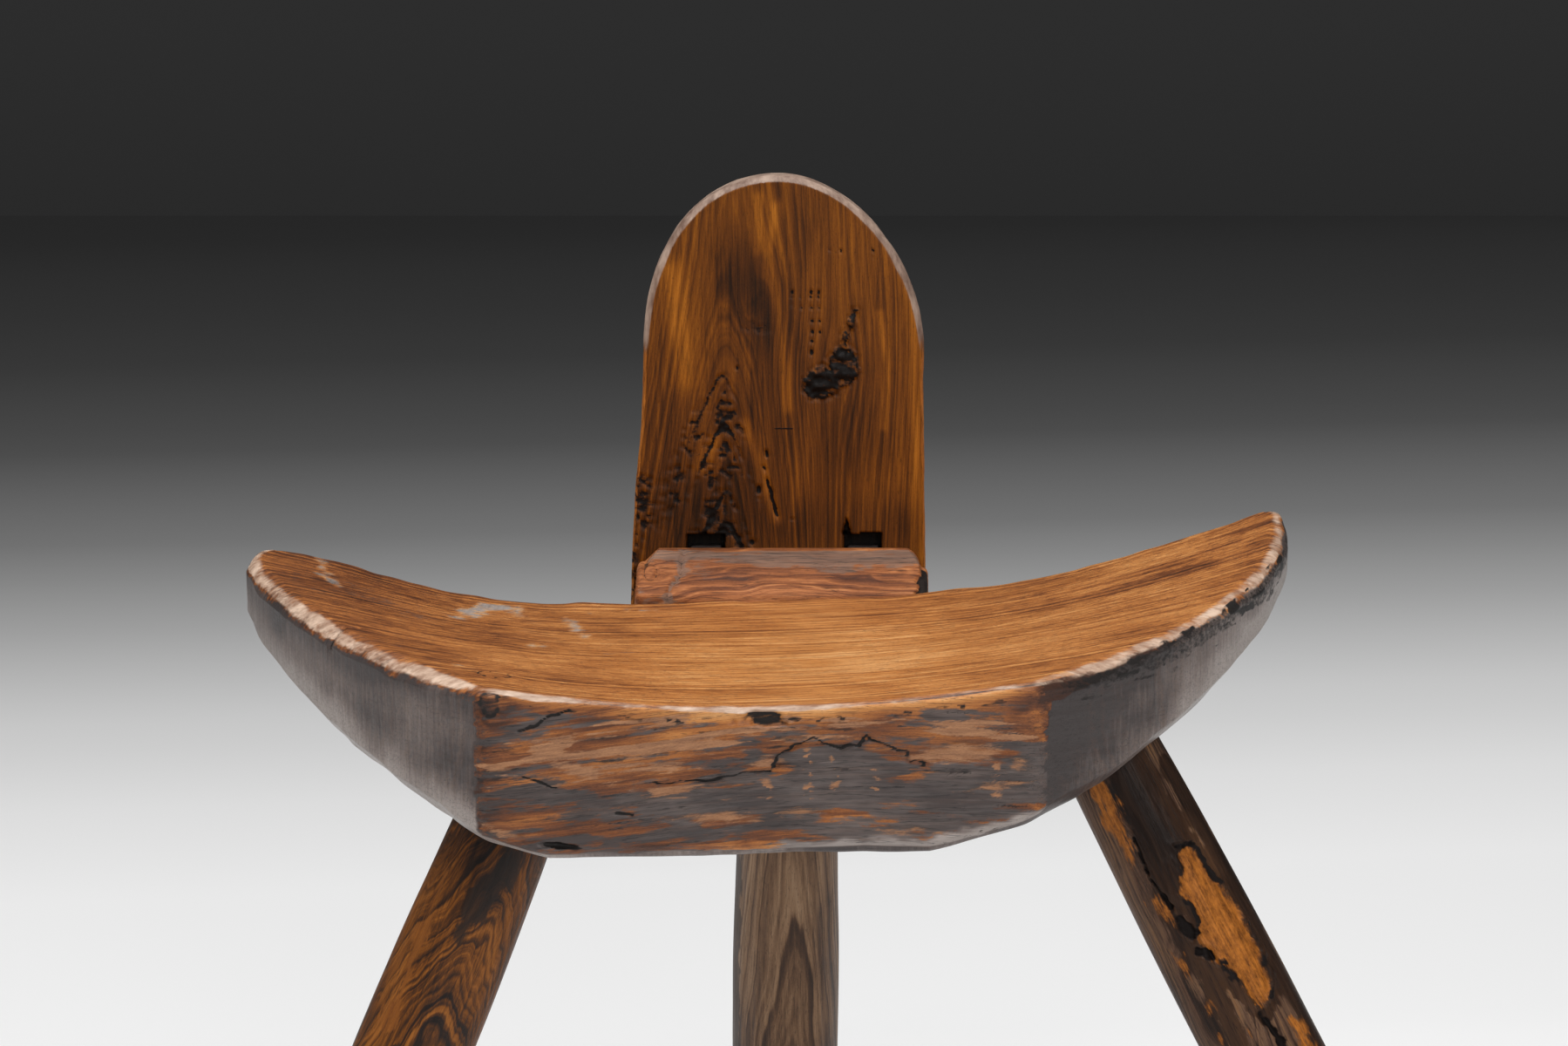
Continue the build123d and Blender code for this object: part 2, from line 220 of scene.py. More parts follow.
def to_line(x, y, corners):
    """Distance from (x, y) to the nearest point of a broken line."""
    best = np.full(np.shape(x), 1e9)
    for (ax, ay), (bx, by) in zip(corners[:-1], corners[1:]):
        dx, dy = bx - ax, by - ay
        t = np.clip(((x - ax) * dx + (y - ay) * dy) / (dx * dx + dy * dy), 0, 1)
        best = np.minimum(best, np.hypot(x - ax - t * dx, y - ay - t * dy))
    return best


def to_oval(x, y, centre, radii, turn=0.0):
    """Rough distance outside an oval: the scaled radius less one, times the smaller radius."""
    c, s = np.cos(np.radians(turn)), np.sin(np.radians(turn))
    dx, dy = x - centre[0], y - centre[1]
    across, up = c * dx + s * dy, -s * dx + c * dy
    return (np.hypot(across / radii[0], up / radii[1]) - 1) * min(radii)


def nearest_oval(x, y, ovals):
    """Distance outside the nearest of several ovals, each given by its centre, radii and turn."""
    return np.minimum.reduce([to_oval(x, y, *oval) for oval in ovals])


print("from (3, 4) to a line along x", to_line(3.0, 4.0, [(0, 0), (9, 0)]))

# %% [markdown]
# ## From a grid of points to a closed mesh
#
# Every wooden piece here is one closed skin: a ring of points, carried along the piece, closed at
# both ends. Blender's own tools could extrude such a thing, but a grid of points leaves every
# point free to move, and it carries what the finish wants to know about each point, such as
# where it lies in the log. Those facts become attributes that the shader reads.

# %% Grid to mesh
def closed_skin(name, grid, facts):
    """Mesh of a grid: rows run round the piece and close, columns run along it and end in a pole.

    grid is rows x columns x 3 in millimetres. Each fact is rows x columns, or x 3 for a place.
    """
    rows, columns = grid.shape[:2]
    number = np.arange(rows * columns).reshape(rows, columns)
    here, along = number[:, :-1], number[:, 1:]
    above, opposite = np.roll(here, -1, 0), np.roll(along, -1, 0)
    quads = np.stack([here, along, opposite, above], -1).reshape(-1, 4)
    points = place(grid.reshape(-1, 3))
    a, b, c, d = (points[quads[:, k]] for k in range(4))
    volume = np.sum(a * np.cross(b, c)) + np.sum(a * np.cross(c, d))
    if volume < 0:
        quads = quads[:, ::-1]
    mesh = bpy.data.meshes.new(name)
    mesh.vertices.add(len(points))
    mesh.vertices.foreach_set("co", points.astype(np.float32).ravel())
    mesh.loops.add(quads.size)
    mesh.loops.foreach_set("vertex_index", quads.astype(np.int32).ravel())
    mesh.polygons.add(len(quads))
    mesh.polygons.foreach_set("loop_start", np.arange(0, quads.size, 4, dtype=np.int32))
    mesh.polygons.foreach_set("use_smooth", np.ones(len(quads), bool))
    mesh.update(calc_edges=True)
    for fact, values in facts.items():
        flat = np.asarray(values, np.float32).reshape(rows * columns, -1)
        kind, field = ("FLOAT_VECTOR", "vector") if flat.shape[1] == 3 else ("FLOAT", "value")
        mesh.attributes.new(fact, kind, "POINT").data.foreach_set(field, flat.ravel())
    shell = bmesh.new()
    shell.from_mesh(mesh)
    bmesh.ops.remove_doubles(shell, verts=shell.verts, dist=2e-6)
    bmesh.ops.dissolve_degenerate(shell, edges=shell.edges, dist=1e-7)
    shell.to_mesh(mesh)
    open_edges = sum(1 for edge in shell.edges if len(edge.link_faces) != 2)
    print(name, "faces", len(shell.faces), "open edges", open_edges)
    shell.free()
    piece = bpy.data.objects.new(name, mesh)
    bpy.context.scene.collection.objects.link(piece)
    return piece


def cap(grid, first=0, last=0):
    """Adds shrinking copies of the first and the last ring, down to a point, so that both ends close flat."""
    grid = np.asarray(grid, float)
    flat = grid.reshape(*grid.shape[:2], -1)
    parts = [flat]
    for count, ring, order in ((first, flat[:, :1], 1), (last, flat[:, -1:], -1)):
        middle = ring.mean(0, keepdims=True)
        shares = (np.arange(count) / max(count, 1))[::order, None]
        parts.insert(0 if order == 1 else len(parts), middle + (ring - middle) * shares)
    return np.concatenate(parts, 1).reshape(grid.shape[0], -1, *grid.shape[2:])


def strip(first, last, shares):
    """Rows of points from one line of points to another, at the given shares of the way."""
    shares = np.asarray(shares, float)[:, None, None]
    return first[None] * (1 - shares) + last[None] * shares


def middles(count):
    """Shares strictly between 0 and 1, evenly spaced."""
    return (np.arange(count) + 1) / (count + 1)


# %% [markdown]
# ## The seat: its outline and its saddle
#
# The seat was split from half a log. Its outline is a flat facet in front, a curved side to each
# tip and a straight rear, and its top is hollowed: two curves, one along the front and one along
# the rear, with straight lines between them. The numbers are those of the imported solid. A
# sculpted mesh could show the same, but formulas keep the skin on the solid to a fraction of a
# millimetre.

# %% Outline and saddle
seat_width, seat_depth, _ = (round(1000 * side, 3) for side in seat_high - seat_low)
right_reach = seat_width - left_reach
facet_left, facet_right = -137.0, 113.0
left_tip_y, right_tip_y = seat_depth - 38.0, seat_depth - 40.0
left_corner, right_corner = 24.0, 12.0
seat_height, saddle_fall, seat_thickness = 380.0, 8.0, 72.0
rear_low, under_level = seat_height - saddle_fall, seat_height - seat_thickness
log_margin = 6.0  # the log was this much larger all round than the seat sawn from it
saddle_low_x = -38.0
saddle_stations = [-left_reach - log_margin, -227.1, -150.0, saddle_low_x, 105.0, right_reach + log_margin]
front_rises, rear_rises = [25, 21, 11, 0, 10.5, 37], [31.8, 22, 1.8, 0, 8.5, 52]


def quarter(centre, radius, first, last):
    """Part of a circle between two angles in degrees."""
    angles = np.radians(np.linspace(first, last, 24))
    return np.stack([centre[0] + radius * np.cos(angles), centre[1] + radius * np.sin(angles)], -1)


left_centre = (-left_reach + left_corner, seat_depth - left_corner)
right_centre = (right_reach - right_corner, seat_depth - right_corner)
front_path = np.concatenate(
    [
        quarter(left_centre, left_corner, 135, 180),
        bowed((facet_left, 0), (-left_reach, left_tip_y), 0.571, 0.406, 160)[::-1],
        bowed((facet_right, 0), (right_reach, right_tip_y), 0.614, 0.352, 160),
        quarter(right_centre, right_corner, 0, 45),
    ]
)
rear_path = np.concatenate(
    [quarter(left_centre, left_corner, 135, 90), quarter(right_centre, right_corner, 90, 45)]
)
front_path = rounded(front_path, 5)


def saddle(x, y):
    """Height of the hollow: straight lines from a curve in front of the seat to one behind it."""
    front = seat_height + through(saddle_stations, front_rises, x)
    rear = rear_low + through(saddle_stations, rear_rises, x)
    return front + (rear - front) * (y + log_margin) / (seat_depth + 2 * log_margin)


left_tip_thickness, right_tip_thickness = 28.5, 20.0
flat_left, flat_right, flat_rise = -107.0, 66.0, 4.5
left_end = (saddle_stations[0], rear_low + rear_rises[0] - left_tip_thickness)
right_end = (saddle_stations[-1], rear_low + rear_rises[-1] - right_tip_thickness)
left_sweep = bowed((flat_left, under_level), left_end, 0.615, 0.525, 80)
right_sweep = bowed((flat_right, under_level + flat_rise), right_end, 0.58, 0.416, 80)
under_curve = np.concatenate([left_sweep[::-1], right_sweep])


def underside(x):
    """Height of the underside: flat in the middle, an arc up to each tip."""
    return np.interp(x, under_curve[:, 0], under_curve[:, 1])


print("front edge", length_along(front_path)[-1].round(), "mm; saddle at its lowest",
      saddle(saddle_low_x, seat_depth + log_margin))

# %% [markdown]
# ## The seat: one skin from tip to tip
#
# The skin is a ring carried from the left tip to the right one: over the top from front to rear,
# down the rear face, back along the underside and up the front. The hard corners between them
# are worn, most of all along the two sides, where hands and knees have rubbed the rim to a
# bright, rounded band about eight millimetres wide.

# %% Stations from tip to tip
seat_columns = 456
crowding = 0.24  # how much closer the stations stand on the front facet than on average
evenly = np.linspace(0, 1, seat_columns)
column = evenly + crowding * np.sin(2 * np.pi * evenly) / (2 * np.pi)
along_front = column * length_along(front_path)[-1]
front_edge = walk(front_path, along_front)
reach_across = np.concatenate([[0], np.cumsum(np.abs(np.diff(front_edge[:, 0])) + 0.35)])
rear_edge = walk(rear_path, reach_across / reach_across[-1] * length_along(rear_path)[-1])


def inward(edge):
    """Unit vector across an outline, towards the middle of the seat."""
    tangent = np.gradient(edge, axis=0)
    across = np.stack([-tangent[:, 1], tangent[:, 0]], -1)
    return across / np.linalg.norm(across, axis=-1, keepdims=True)


front_in, rear_in = inward(front_edge), -inward(rear_edge)
rear_in[[0, -1]] = front_in[[0, -1]]
at_end = np.minimum(column, 1 - column)
meet = smooth(0.0, 0.03, at_end)
side_share = 1 - smooth(facet_left - 25, facet_left + 12, front_edge[:, 0]) * (
    1 - smooth(facet_right - 12, facet_right + 25, front_edge[:, 0])
)
knocks = 1 + 0.22 * layered(one_line(along_front), 34.0, 5, 3)
tip_wear, facet_wear, side_wear, back_wear = 4.0, 2.8, 8.0, 3.2
tip_foot, facet_foot, side_foot = 6.0, 5.5, 10.0
wear_here = (facet_wear + (side_wear - facet_wear) * side_share) * knocks
foot_here = (facet_foot + (side_foot - facet_foot) * side_share) * (2 - knocks)
front_wear, rear_wear = (tip_wear + meet * (wear - tip_wear) for wear in (wear_here, back_wear))
front_foot, rear_foot = (tip_foot + meet * (wear - tip_foot) for wear in (foot_here, facet_foot))
print("stations", seat_columns, "rim worn by up to", front_wear.max().round(1), "mm")

# %% [markdown]
# ## The seat: rows of each side
#
# A worn corner is neither a straight bevel nor a full quarter circle, so its rows lie between the
# two. Each helper returns the rows of one side and the direction that points away from the wood
# there, which the marks will need: they push the skin out or in along it. The rows lie closest
# together on the front wall, where the smallest marks are.

# %% Rows of the seat
top_rows, back_rows, under_rows, front_rows = 66, 14, 20, 94


def corner_shares(count, roundness):
    """Share in and share down of a worn corner: between a straight bevel and a quarter circle."""
    t = middles(count)
    share_in = (1 - roundness) * t + roundness * (1 - np.cos(t * np.pi / 2))
    share_down = (1 - roundness) * (1 - t) + roundness * (1 - np.sin(t * np.pi / 2))
    return share_in[:, None], share_down[:, None]


def rim(edge, into, wear):
    """Rows of the worn upper corner, from the wall to the top."""
    share_in, share_down = corner_shares(7, 0.55)
    xy = edge[None] + into[None] * (wear * share_in)[..., None]
    z = saddle(xy[..., 0], xy[..., 1]) - wear * share_down
    away = np.concatenate([-into[None] * share_down[..., None], share_in[..., None] + 0 * z[..., None]], -1)
    return np.concatenate([xy, z[..., None]], -1), away


def foot(edge, into, wear):
    """Rows of the hewn lower corner, from the underside to the wall."""
    share_in, share_down = corner_shares(5, 0.25)
    xy = edge[None] + into[None] * (wear * share_down)[..., None]
    level = underside(edge[:, 0] + into[:, 0] * wear)
    z = level + wear * share_in
    away = np.concatenate([-into[None] * share_in[..., None], -share_down[..., None] + 0 * z[..., None]], -1)
    return np.concatenate([xy, z[..., None]], -1), away


def wall(edge, into, wear, foot_wear, count):
    """Rows of an upright wall, from its hewn foot to its worn rim."""
    low = underside(edge[:, 0] + into[:, 0] * foot_wear) + foot_wear
    high = saddle(edge[:, 0], edge[:, 1]) - wear
    share = np.linspace(0, 1, count)[:, None]
    z = low + (high - low) * share
    xy = np.broadcast_to(edge, (count, *edge.shape))
    away = np.broadcast_to(np.concatenate([-into, 0 * into[:, :1]], -1), (count, len(edge), 3))
    return np.concatenate([xy, z[..., None]], -1), away


def sheet(first, last, count, level, up):
    """Rows of the top or the underside, straight from one inner edge to the other."""
    xy = strip(first, last, np.linspace(0, 1, count))
    z = level(xy[..., 0], xy[..., 1])
    away = np.broadcast_to(np.array([0.0, 0.0, up]), (*z.shape, 3))
    return np.concatenate([xy, z[..., None]], -1), away


rows = [
    sheet(front_edge + front_in * front_wear[:, None], rear_edge + rear_in * rear_wear[:, None],
          top_rows, saddle, 1.0),
    tuple(part[::-1] for part in rim(rear_edge, rear_in, rear_wear)),
    tuple(part[::-1] for part in wall(rear_edge, rear_in, rear_wear, rear_foot, back_rows)),
    tuple(part[::-1] for part in foot(rear_edge, rear_in, rear_foot)),
    sheet(rear_edge + rear_in * rear_foot[:, None], front_edge + front_in * front_foot[:, None],
          under_rows, lambda x, y: underside(x) + 0 * y, -1.0),
    foot(front_edge, front_in, front_foot),
    wall(front_edge, front_in, front_wear, front_foot, front_rows),
    rim(front_edge, front_in, front_wear),
]
seat_skin = np.concatenate([part[0] for part in rows])
seat_away = np.concatenate([part[1] for part in rows])
seat_away = seat_away / np.linalg.norm(seat_away, axis=-1, keepdims=True)
print("seat grid", seat_skin.shape)

# %% [markdown]
# ## The seat: where each point lies
#
# A mark belongs to one place: the hollow on top, the flat facet in front, a side, the underside
# or the rim between them. The direction that points away from the wood tells these places apart,
# so each of them becomes a share from 0 to 1. Painting vertex groups by hand would do the same,
# but these shares follow the seat when one of its sizes changes.

# %% Shares of the seat's sides
x, y, z = (seat_skin[..., k] for k in range(3))
on_top = smooth(0.6, 0.95, seat_away[..., 2])
on_under = smooth(0.6, 0.95, -seat_away[..., 2])
on_facet = smooth(0.55, 0.9, -seat_away[..., 1]) * (1 - on_top)
level_share = np.hypot(seat_away[..., 0], seat_away[..., 1])
upright = smooth(0.5, 0.75, level_share / (np.linalg.norm(seat_away, axis=-1) + 1e-9))
on_wall = smooth(0.45, 0.75, level_share) * (1 - on_under)
on_rear = smooth(seat_depth - 7, seat_depth - 3, y)
not_back = (1 - on_rear) * (1 - on_under)
from_rim = np.hypot(x - front_edge[:, 0], y - front_edge[:, 1])
below_rim = saddle(x, y) - z
above_foot = z - underside(x)
seat_along = np.broadcast_to(along_front, x.shape)
side_here = np.broadcast_to(side_share, x.shape)
left_here, right_here = side_here * (x < 0), side_here * (x > 0)
front_only = on_facet * (y < 60)
round_wall = np.stack([seat_along, 0 * x, z], -1)
by_rim = np.stack([seat_along, from_rim, z], -1)
rough_line = layered(seat_skin, (9, 9, 4), 21, 3)
print("seat points", x.size)


def groove(gap, width):
    """1 on a line and 0 away from it, falling off as exp(-(gap / width)^2)."""
    return np.exp(-((gap / width) ** 2))


def patch(gap, blur):
    """0.5 on an outline, rising to 1 inside it and falling to 0 outside, over the blur."""
    return np.clip(0.5 - gap / (2 * blur), 0, 1)


# %% [markdown]
# ## The seat: the flake and the cracks in front
#
# A long flake has split off the lower half of the front facet. What stays is a ragged step, with
# the wood above it standing proud and a crack under its lip. Shorter cracks run along the
# fibres. A crack is the distance to a broken line, and noise added to the place makes it
# wander. Its width changes along it, because an even line looks drawn.

# %% The flake and the cracks
flake_x = [-60, -35, -6, -3, 13, 23, 33, 36, 55, 57, 64]
flake_z = [344.5, 346.5, 350.2, 358.5, 366, 361.6, 361.8, 366, 359.5, 354, 353.4]
crack_lines = [
    [(-120, 369), (-112, 371.5), (-105, 376), (-98, 378)],
    [(-118, 348), (-110, 344.6), (-101, 341.5)],
    [(-77, 330), (-69, 329)],
    [(88, 322), (97, 323)],
]
facet_wave = 0.9 * ripple(seat_skin, (5, 5, 5), 31)
above_flake = z - np.interp(x, flake_x, flake_z) - facet_wave
flake_reach = smooth(-64, -50, x) * smooth(66, 55, x)
flake_lip = 0.7 * smooth(-0.5, 0.9, above_flake) * smooth(22, 4, above_flake)
flake_bed = 0.9 * smooth(-0.5, 0.9, -above_flake) * smooth(16, 3, -above_flake)
flake_step = flake_reach * (flake_lip - flake_bed)
jag_x = 0.9 * ripple(seat_skin, (2.6, 2.6, 2.6), 32)
jag_z = 0.5 * rough_line + 0.5 * ripple(seat_skin, (3.2, 3.2, 2.2), 34)
crack_gap = np.minimum.reduce([to_line(x + jag_x, z + jag_z, line) for line in crack_lines])
flake_gap = to_line(x + jag_x, z - facet_wave + jag_z, list(zip(flake_x, flake_z)))
crack_width = np.maximum(0.5 + 0.55 * ripple(seat_skin, (9, 9, 9), 36), 0.12)
crack_width *= 1 - 0.5 * smooth(52, 58, x)
print("flake step from", flake_step.min().round(2), "to", flake_step.max().round(2), "mm")

# %% [markdown]
# ## The seat: chips, a slit and a knot in front
#
# Chips are shallow ovals where old skin has sprung off, and they will also show as bared wood.
# One deeper chip sits in the rim, a narrow slit near the lower edge, and a knot in the left
# corner of the facet. Every mark adds its own height, so the depth of each can be changed
# without touching the others.

# %% Chips and the cut of the facet
chips = [
    ((77, 358.3), (22, 4.7), 4), ((-9.8, 353.6), (9, 3.4), 8), ((105.5, 353.4), (5, 2.6), 20),
    ((-30, 328.5), (22, 3.0), 0), ((56, 321.8), (14, 1.6), 0), ((-128, 322.0), (9, 2.2), -14),
    ((96, 343), (12, 1.8), 4), ((4, 331), (16, 1.6), 3),
]
chip_gap = nearest_oval(x, z, chips) + 0.9 * rough_line
slit_gap = to_oval(x, z, (-101, 315.0), (8.2, 1.5), -7) + 0.5 * jag_z
rim_chip_gap = to_oval(x, z, (-11, 374.6), (11, 3.2), 2) + 1.6 * jag_z + 1.2 * jag_x
facet_knot = to_oval(x, z, (-132.5, 381.5), (4.4, 5.6), 10) + 0.9 * jag_z
facet_cut = front_only * (
    flake_step
    - 1.6 * groove(flake_gap, crack_width + 0.25)
    - 1.0 * smooth(1.2, -0.6, chip_gap)
    - 1.3 * groove(crack_gap, crack_width)
    - 3.2 * smooth(0.8, -0.8, slit_gap)
    - 2.6 * smooth(1.2, -0.8, rim_chip_gap)
    - 0.8 * groove(facet_knot, 1.2)
    + 0.5 * smooth(0, -3, facet_knot)
    + 0.28 * layered(seat_skin, (26, 26, 3.2), 41, 3)
)
print("facet cut from", facet_cut.min().round(2), "to", facet_cut.max().round(2), "mm")

# %% [markdown]
# ## The seat: adze facets, a knocked rim and a dented top
#
# The sides were hewn with an adze, whose cuts meet in low ridges every 46 millimetres or so. The
# rim has been knocked, most of all on the right, and a short split runs in from it on the left.
# The top was scraped smooth, so it has only long shallow dents, and its rear edge keeps two low
# lumps that the scraper rode over.

# %% Marks of the sides, the rim and the top
hewn_hollows = 0.55 * layered(seat_skin, (60, 60, 38), 3, 2)
adze_length = 46
adze_ridges = 0.7 * np.abs(((seat_along + 12 * ripple(seat_skin, 50, 8)) / adze_length) % 1 - 0.5)
tool_stripes = 0.05 * layered(round_wall, (5, 1, 34), 12, 3)
side_cut = on_wall * (1 - on_facet * (1 - side_here)) * (hewn_hollows - adze_ridges + tool_stripes)
near_rim = smooth(12, 3, np.where(on_top > 0.5, from_rim, below_rim)) * not_back
rim_knock = near_rim * (
    0.20 * layered(by_rim, (30, 9, 9), 15, 3) + 0.42 * right_here * layered(by_rim, (13, 10, 10), 16, 2))
split_line = to_line(x + 2.0 * rough_line, y, [(-214, 89), (-206, 96), (-200, 100.5)])
split_here = left_here * smooth(15, 11, below_rim)
rim_split = -2.4 * groove(split_line, 0.8) * split_here
top_knot = to_oval(x, y, (-133, 41), (7.6, 7.2), 12) + 0.5 * rough_line
top_dent = 0.35 * layered(seat_skin, (70, 34, 60), 4, 2) + 0.10 * ripple(seat_skin, (40, 2.6, 30), 6)
top_dent = on_top * (top_dent - 0.5 * groove(top_knot, 0.9))
on_rear_lumps = smooth(seat_depth - 25, seat_depth - 1, y) * (1 - on_wall) * (1 - on_under)
lump_height = 1.8 * groove(x + 92, 24) + 1.5 * groove(x - 84, 20) + 0.5 * layered(one_line(x), 17.0, 9, 2)
under_hollows = on_under * (0.9 * layered(seat_skin, (48, 40, 40), 13, 3))
print("side cut from", side_cut.min().round(2), "to", side_cut.max().round(2), "mm")

# %% [markdown]
# ## The seat: all marks on the skin
#
# The heights are added up and push each point along its own outward direction. They fade to
# nothing at the two tips, where all the rows of the ring come together in one point, because a
# push there would tear the skin open.

# %% The marked skin
seat_marks = facet_cut + side_cut + rim_knock + rim_split + top_dent + on_rear_lumps * lump_height
seat_marks += under_hollows
seat_marks *= smooth(0, 0.012, np.minimum(column, 1 - column))
seat_surface = seat_skin + seat_away * seat_marks[..., None]
print("marks from", seat_marks.min().round(2), "to", seat_marks.max().round(2), "mm")

# %% [markdown]
# ## The seat: what the finish needs to know
#
# The finish is one recipe for all the old wood of the chair, and it reads a few facts about each
# point: where the point lies in the log, with z along the fibres; the growth ring that it is in;
# and how much of it is dark old skin, worn pale wood, freshly bared wood, or scar. A fact of
# one half is the edge of a patch, which the shader then makes ragged with finer noise. First
# come the grain and the rings: the log's heart lay behind the seat, and the fibres of the left
# end slant down.

# %% Grain and rings of the seat
slant = 24 * smooth(-200, 40, x) - 0.02 * x
log_height = z - slant
slanted = np.stack([x, y, log_height], -1)
heart_y, heart_height = seat_depth + 35, rear_low
seat_rings = np.hypot(y - heart_y, (log_height - heart_height) * 1.15) + 0.02 * x
seat_rings += 3.0 * layered(seat_skin, (150, 45, 45), 51, 2)
seat_rings += 5.0 * np.exp(-np.maximum(top_knot, 0) / 9) + 4.0 * np.exp(-np.maximum(facet_knot, 0) / 8)
facet_front = smooth(0.47, 0.52, on_facet * (1 - side_here) + 0.10 * rough_line)
facet_end = smooth(116, 134, np.abs(x + 2)) * (0.5 + 0.5 * (x > 0))
fibre_front = np.stack([log_height, 0 * x, x], -1)
hewn_place = np.where((facet_front > 0.5)[..., None], fibre_front, round_wall)
print("rings from", seat_rings.min().round(), "to", seat_rings.max().round(), "mm from the heart")

# %% [markdown]
# ## The seat: smoke, old skin and grey stains
#
# A low chair by an open fire turns grey and black. The sides and the underside have kept that
# old skin whole. On the front facet it is broken into charcoal patches that follow the slanted
# grain, and on top only a few grey stains are left, where nobody sits. On the right end a rest
# of bark keeps its own colour.

# %% Dark patches
charcoal_spots = [
    ((-108, 374.5), (20, 4.2), 16), ((-112, 340), (24, 6.5), -6), ((-84, 333), (14, 5), -16),
    ((6, 337), (80, 9.5), 1), ((27, 351), (30, 13), 0), ((84, 340), (34, 14), 6),
    ((-24, 349), (9, 6), 30), ((-16, 357), (6, 5), 40), ((70, 377), (20, 2.6), 2),
    ((106, 361), (8, 4.5), 0), ((64, 326), (66, 9), 3), ((112, 350), (16, 12), 0),
    ((-70, 318), (44, 3.0), 2),
]
stain_spots = [
    ((-229, 226), (5, 20), 10), ((-222, 196), (4, 22), 24), ((-154, 206), (9, 34), -8),
    ((-143, 226), (20, 9), 0), ((-132, 222), (6, 20), 0), ((-101, 186), (5, 26), 14),
    ((-112, 228), (16, 7), 0), ((-150, 50), (9, 4), -12), ((-92, 120), (10, 4), 0),
    ((-120, 128), (5, 4), 0), ((-70, 232), (10, 8), 0),
]
charcoal = nearest_oval(x, z, charcoal_spots) + 5.0 * layered(slanted, (24, 24, 4), 61, 5)
grey_stain = nearest_oval(x, y, stain_spots) + 1.5 + 6.0 * layered(seat_skin, (12, 16, 18), 71, 4)
bark = (1 - on_top) * smooth(98, 112, x) * smooth(15, 11, below_rim + 0.16 * (x - 112) + 2 * rough_line)
skin_begins = 4.5 + 2.6 * left_here + 2.0 * rough_line
side_patina = patch(skin_begins - below_rim, 3) * np.maximum(upright, on_under) * (1 - smooth(0.3, 0.7, bark))
under_rim = smooth(8.5, 5.5, below_rim + 1.5 * rough_line)
# Grey skin along the facet's lower edge, made paler by its tone: partly old skin, partly a painted reflection
# of the bright floor.
foot_skin_and_sheen = smooth(-40, 30, x) * smooth(9, 6, above_foot + 2 * rough_line)
grey_streaks = 0.31 + 0.34 * layered(slanted, (30, 30, 3.6), 63, 4) + 0.22 * facet_end
front_patina = np.maximum(np.maximum(patch(charcoal, 6), grey_streaks) * (1 - 0.8 * under_rim), foot_skin_and_sheen)
left_grey = 0.24 * smooth(-60, -150, x) + 0.14 * layered(seat_skin, (30, 20, 20), 73, 2)
top_patina = on_top * np.maximum(0.64 * patch(grey_stain, 6), left_grey)
seat_patina = np.maximum(side_patina * (1 - facet_front) + facet_front * front_patina, top_patina)
print("dark skin on", (seat_patina > 0.5).mean().round(2), "of the points")

# %% [markdown]
# ## The seat: the pale worn rim and its painted highlight
#
# Hands and legs have rubbed the rim down to pale wood, and its cream upper tone is also a
# painted highlight, the light that the rounded rim catches. The band lies partly on top and partly
# on the side, wide along both sides and narrow on the facet, so it is measured across the edge:
# what lies in from the rim less what lies below it. Noise along the band thins it here and there.

# %% The worn rim
over_rim = from_rim - below_rim + 0.9 * rough_line
worn_from = -1.6 - 3.0 * left_here - 0.6 * right_here
worn_to = 2.8 + 2.8 * side_here
rim_band = smooth(worn_from - 1.4, worn_from + 1.0, over_rim) * smooth(worn_to + 4.0, worn_to - 2.5, over_rim)
seat_worn_and_highlight = not_back * rim_band * (0.74 + 0.55 * layered(by_rim, (20, 8, 8), 85, 4))
seat_worn_and_highlight *= 1 - 0.3 * right_here * smooth(-0.2, 0.6, layered(seat_skin, (12, 12, 6), 81, 3))
print("worn on", (seat_worn_and_highlight > 0.5).mean().round(3), "of the points")

# %% [markdown]
# ## The seat: black scars and bared wood
#
# Dirt turns every crack black, and where the old skin has sprung off, the brown wood shows: in
# the chips, in streaks along the grain, and in rows of small flecks under the flake. The order
# matters: bared wood gives way to the cracks, and the knot and the dark spots under the rim
# come after it.

# %% Scars and bared wood
rough_rim = right_here * smooth(34, 4, below_rim) * on_wall
crack_scar = 1.2 * groove(flake_gap, crack_width + 0.15) + 0.95 * groove(crack_gap, crack_width)
hole_scar = smooth(0.6, -0.4, slit_gap) + 0.62 * smooth(0.8, -0.8, rim_chip_gap)
hole_scar += 0.8 * groove(facet_knot, 0.9)
open_scar = np.maximum.reduce([
    front_only * np.clip(crack_scar + hole_scar, 0, 1),
    0.9 * groove(split_line, 0.7) * split_here,
    on_top * 0.75 * groove(top_knot, 0.8),
    0.75 * rough_rim * smooth(0.1, 0.7, layered(seat_skin, (14, 14, 4), 83, 3)),
])
bare_streaks = [((-60, 341), (26, 3.4), -6), ((-64, 362), (56, 10), 8), ((-110, 358), (24, 6), 8),
                ((84, 369), (24, 4.5), 4), ((36, 368), (36, 4), 0)]
streak_edge = 3.4 + 9.0 * layered(slanted, (26, 26, 2.6), 65, 4)
bare_gap = np.minimum.reduce([
    chip_gap,
    to_oval(x, z, (-88, 350), (20, 3.0), -14) + 2 * rough_line,
    nearest_oval(x, z, bare_streaks) + streak_edge,
])
fleck_rows = [(10.5, 336, 362), (23, 340, 362), (41, 338, 360), (96, 336, 364), (-8, 336, 350)]
flecks = np.maximum.reduce([
    groove(x - fleck_x, 4.2) * smooth(low - 3, low + 3, z) * smooth(high + 3, high - 3, z)
    for fleck_x, low, high in fleck_rows])
flecks = flecks * smooth(-0.15, 0.4, layered(seat_skin, (3.0, 3.0, 1.5), 67, 2))
seat_bare = facet_front * np.maximum(patch(bare_gap + 0.8, 5) * (1 - open_scar), 0.66 * flecks)
hairs = smooth(0.55, 0.75, layered(slanted, (26, 26, 1.3), 86, 2)) * facet_front
spots = smooth(0.15, 0.5, layered(np.stack([x, 0 * x, below_rim], -1), (5, 5, 2.4), 88, 3))
outer_right = smooth(112, 150, x) * not_back * (
    smooth(-1.5, -3.5, over_rim) * smooth(-16, -11, over_rim + 2.5 * rough_line))
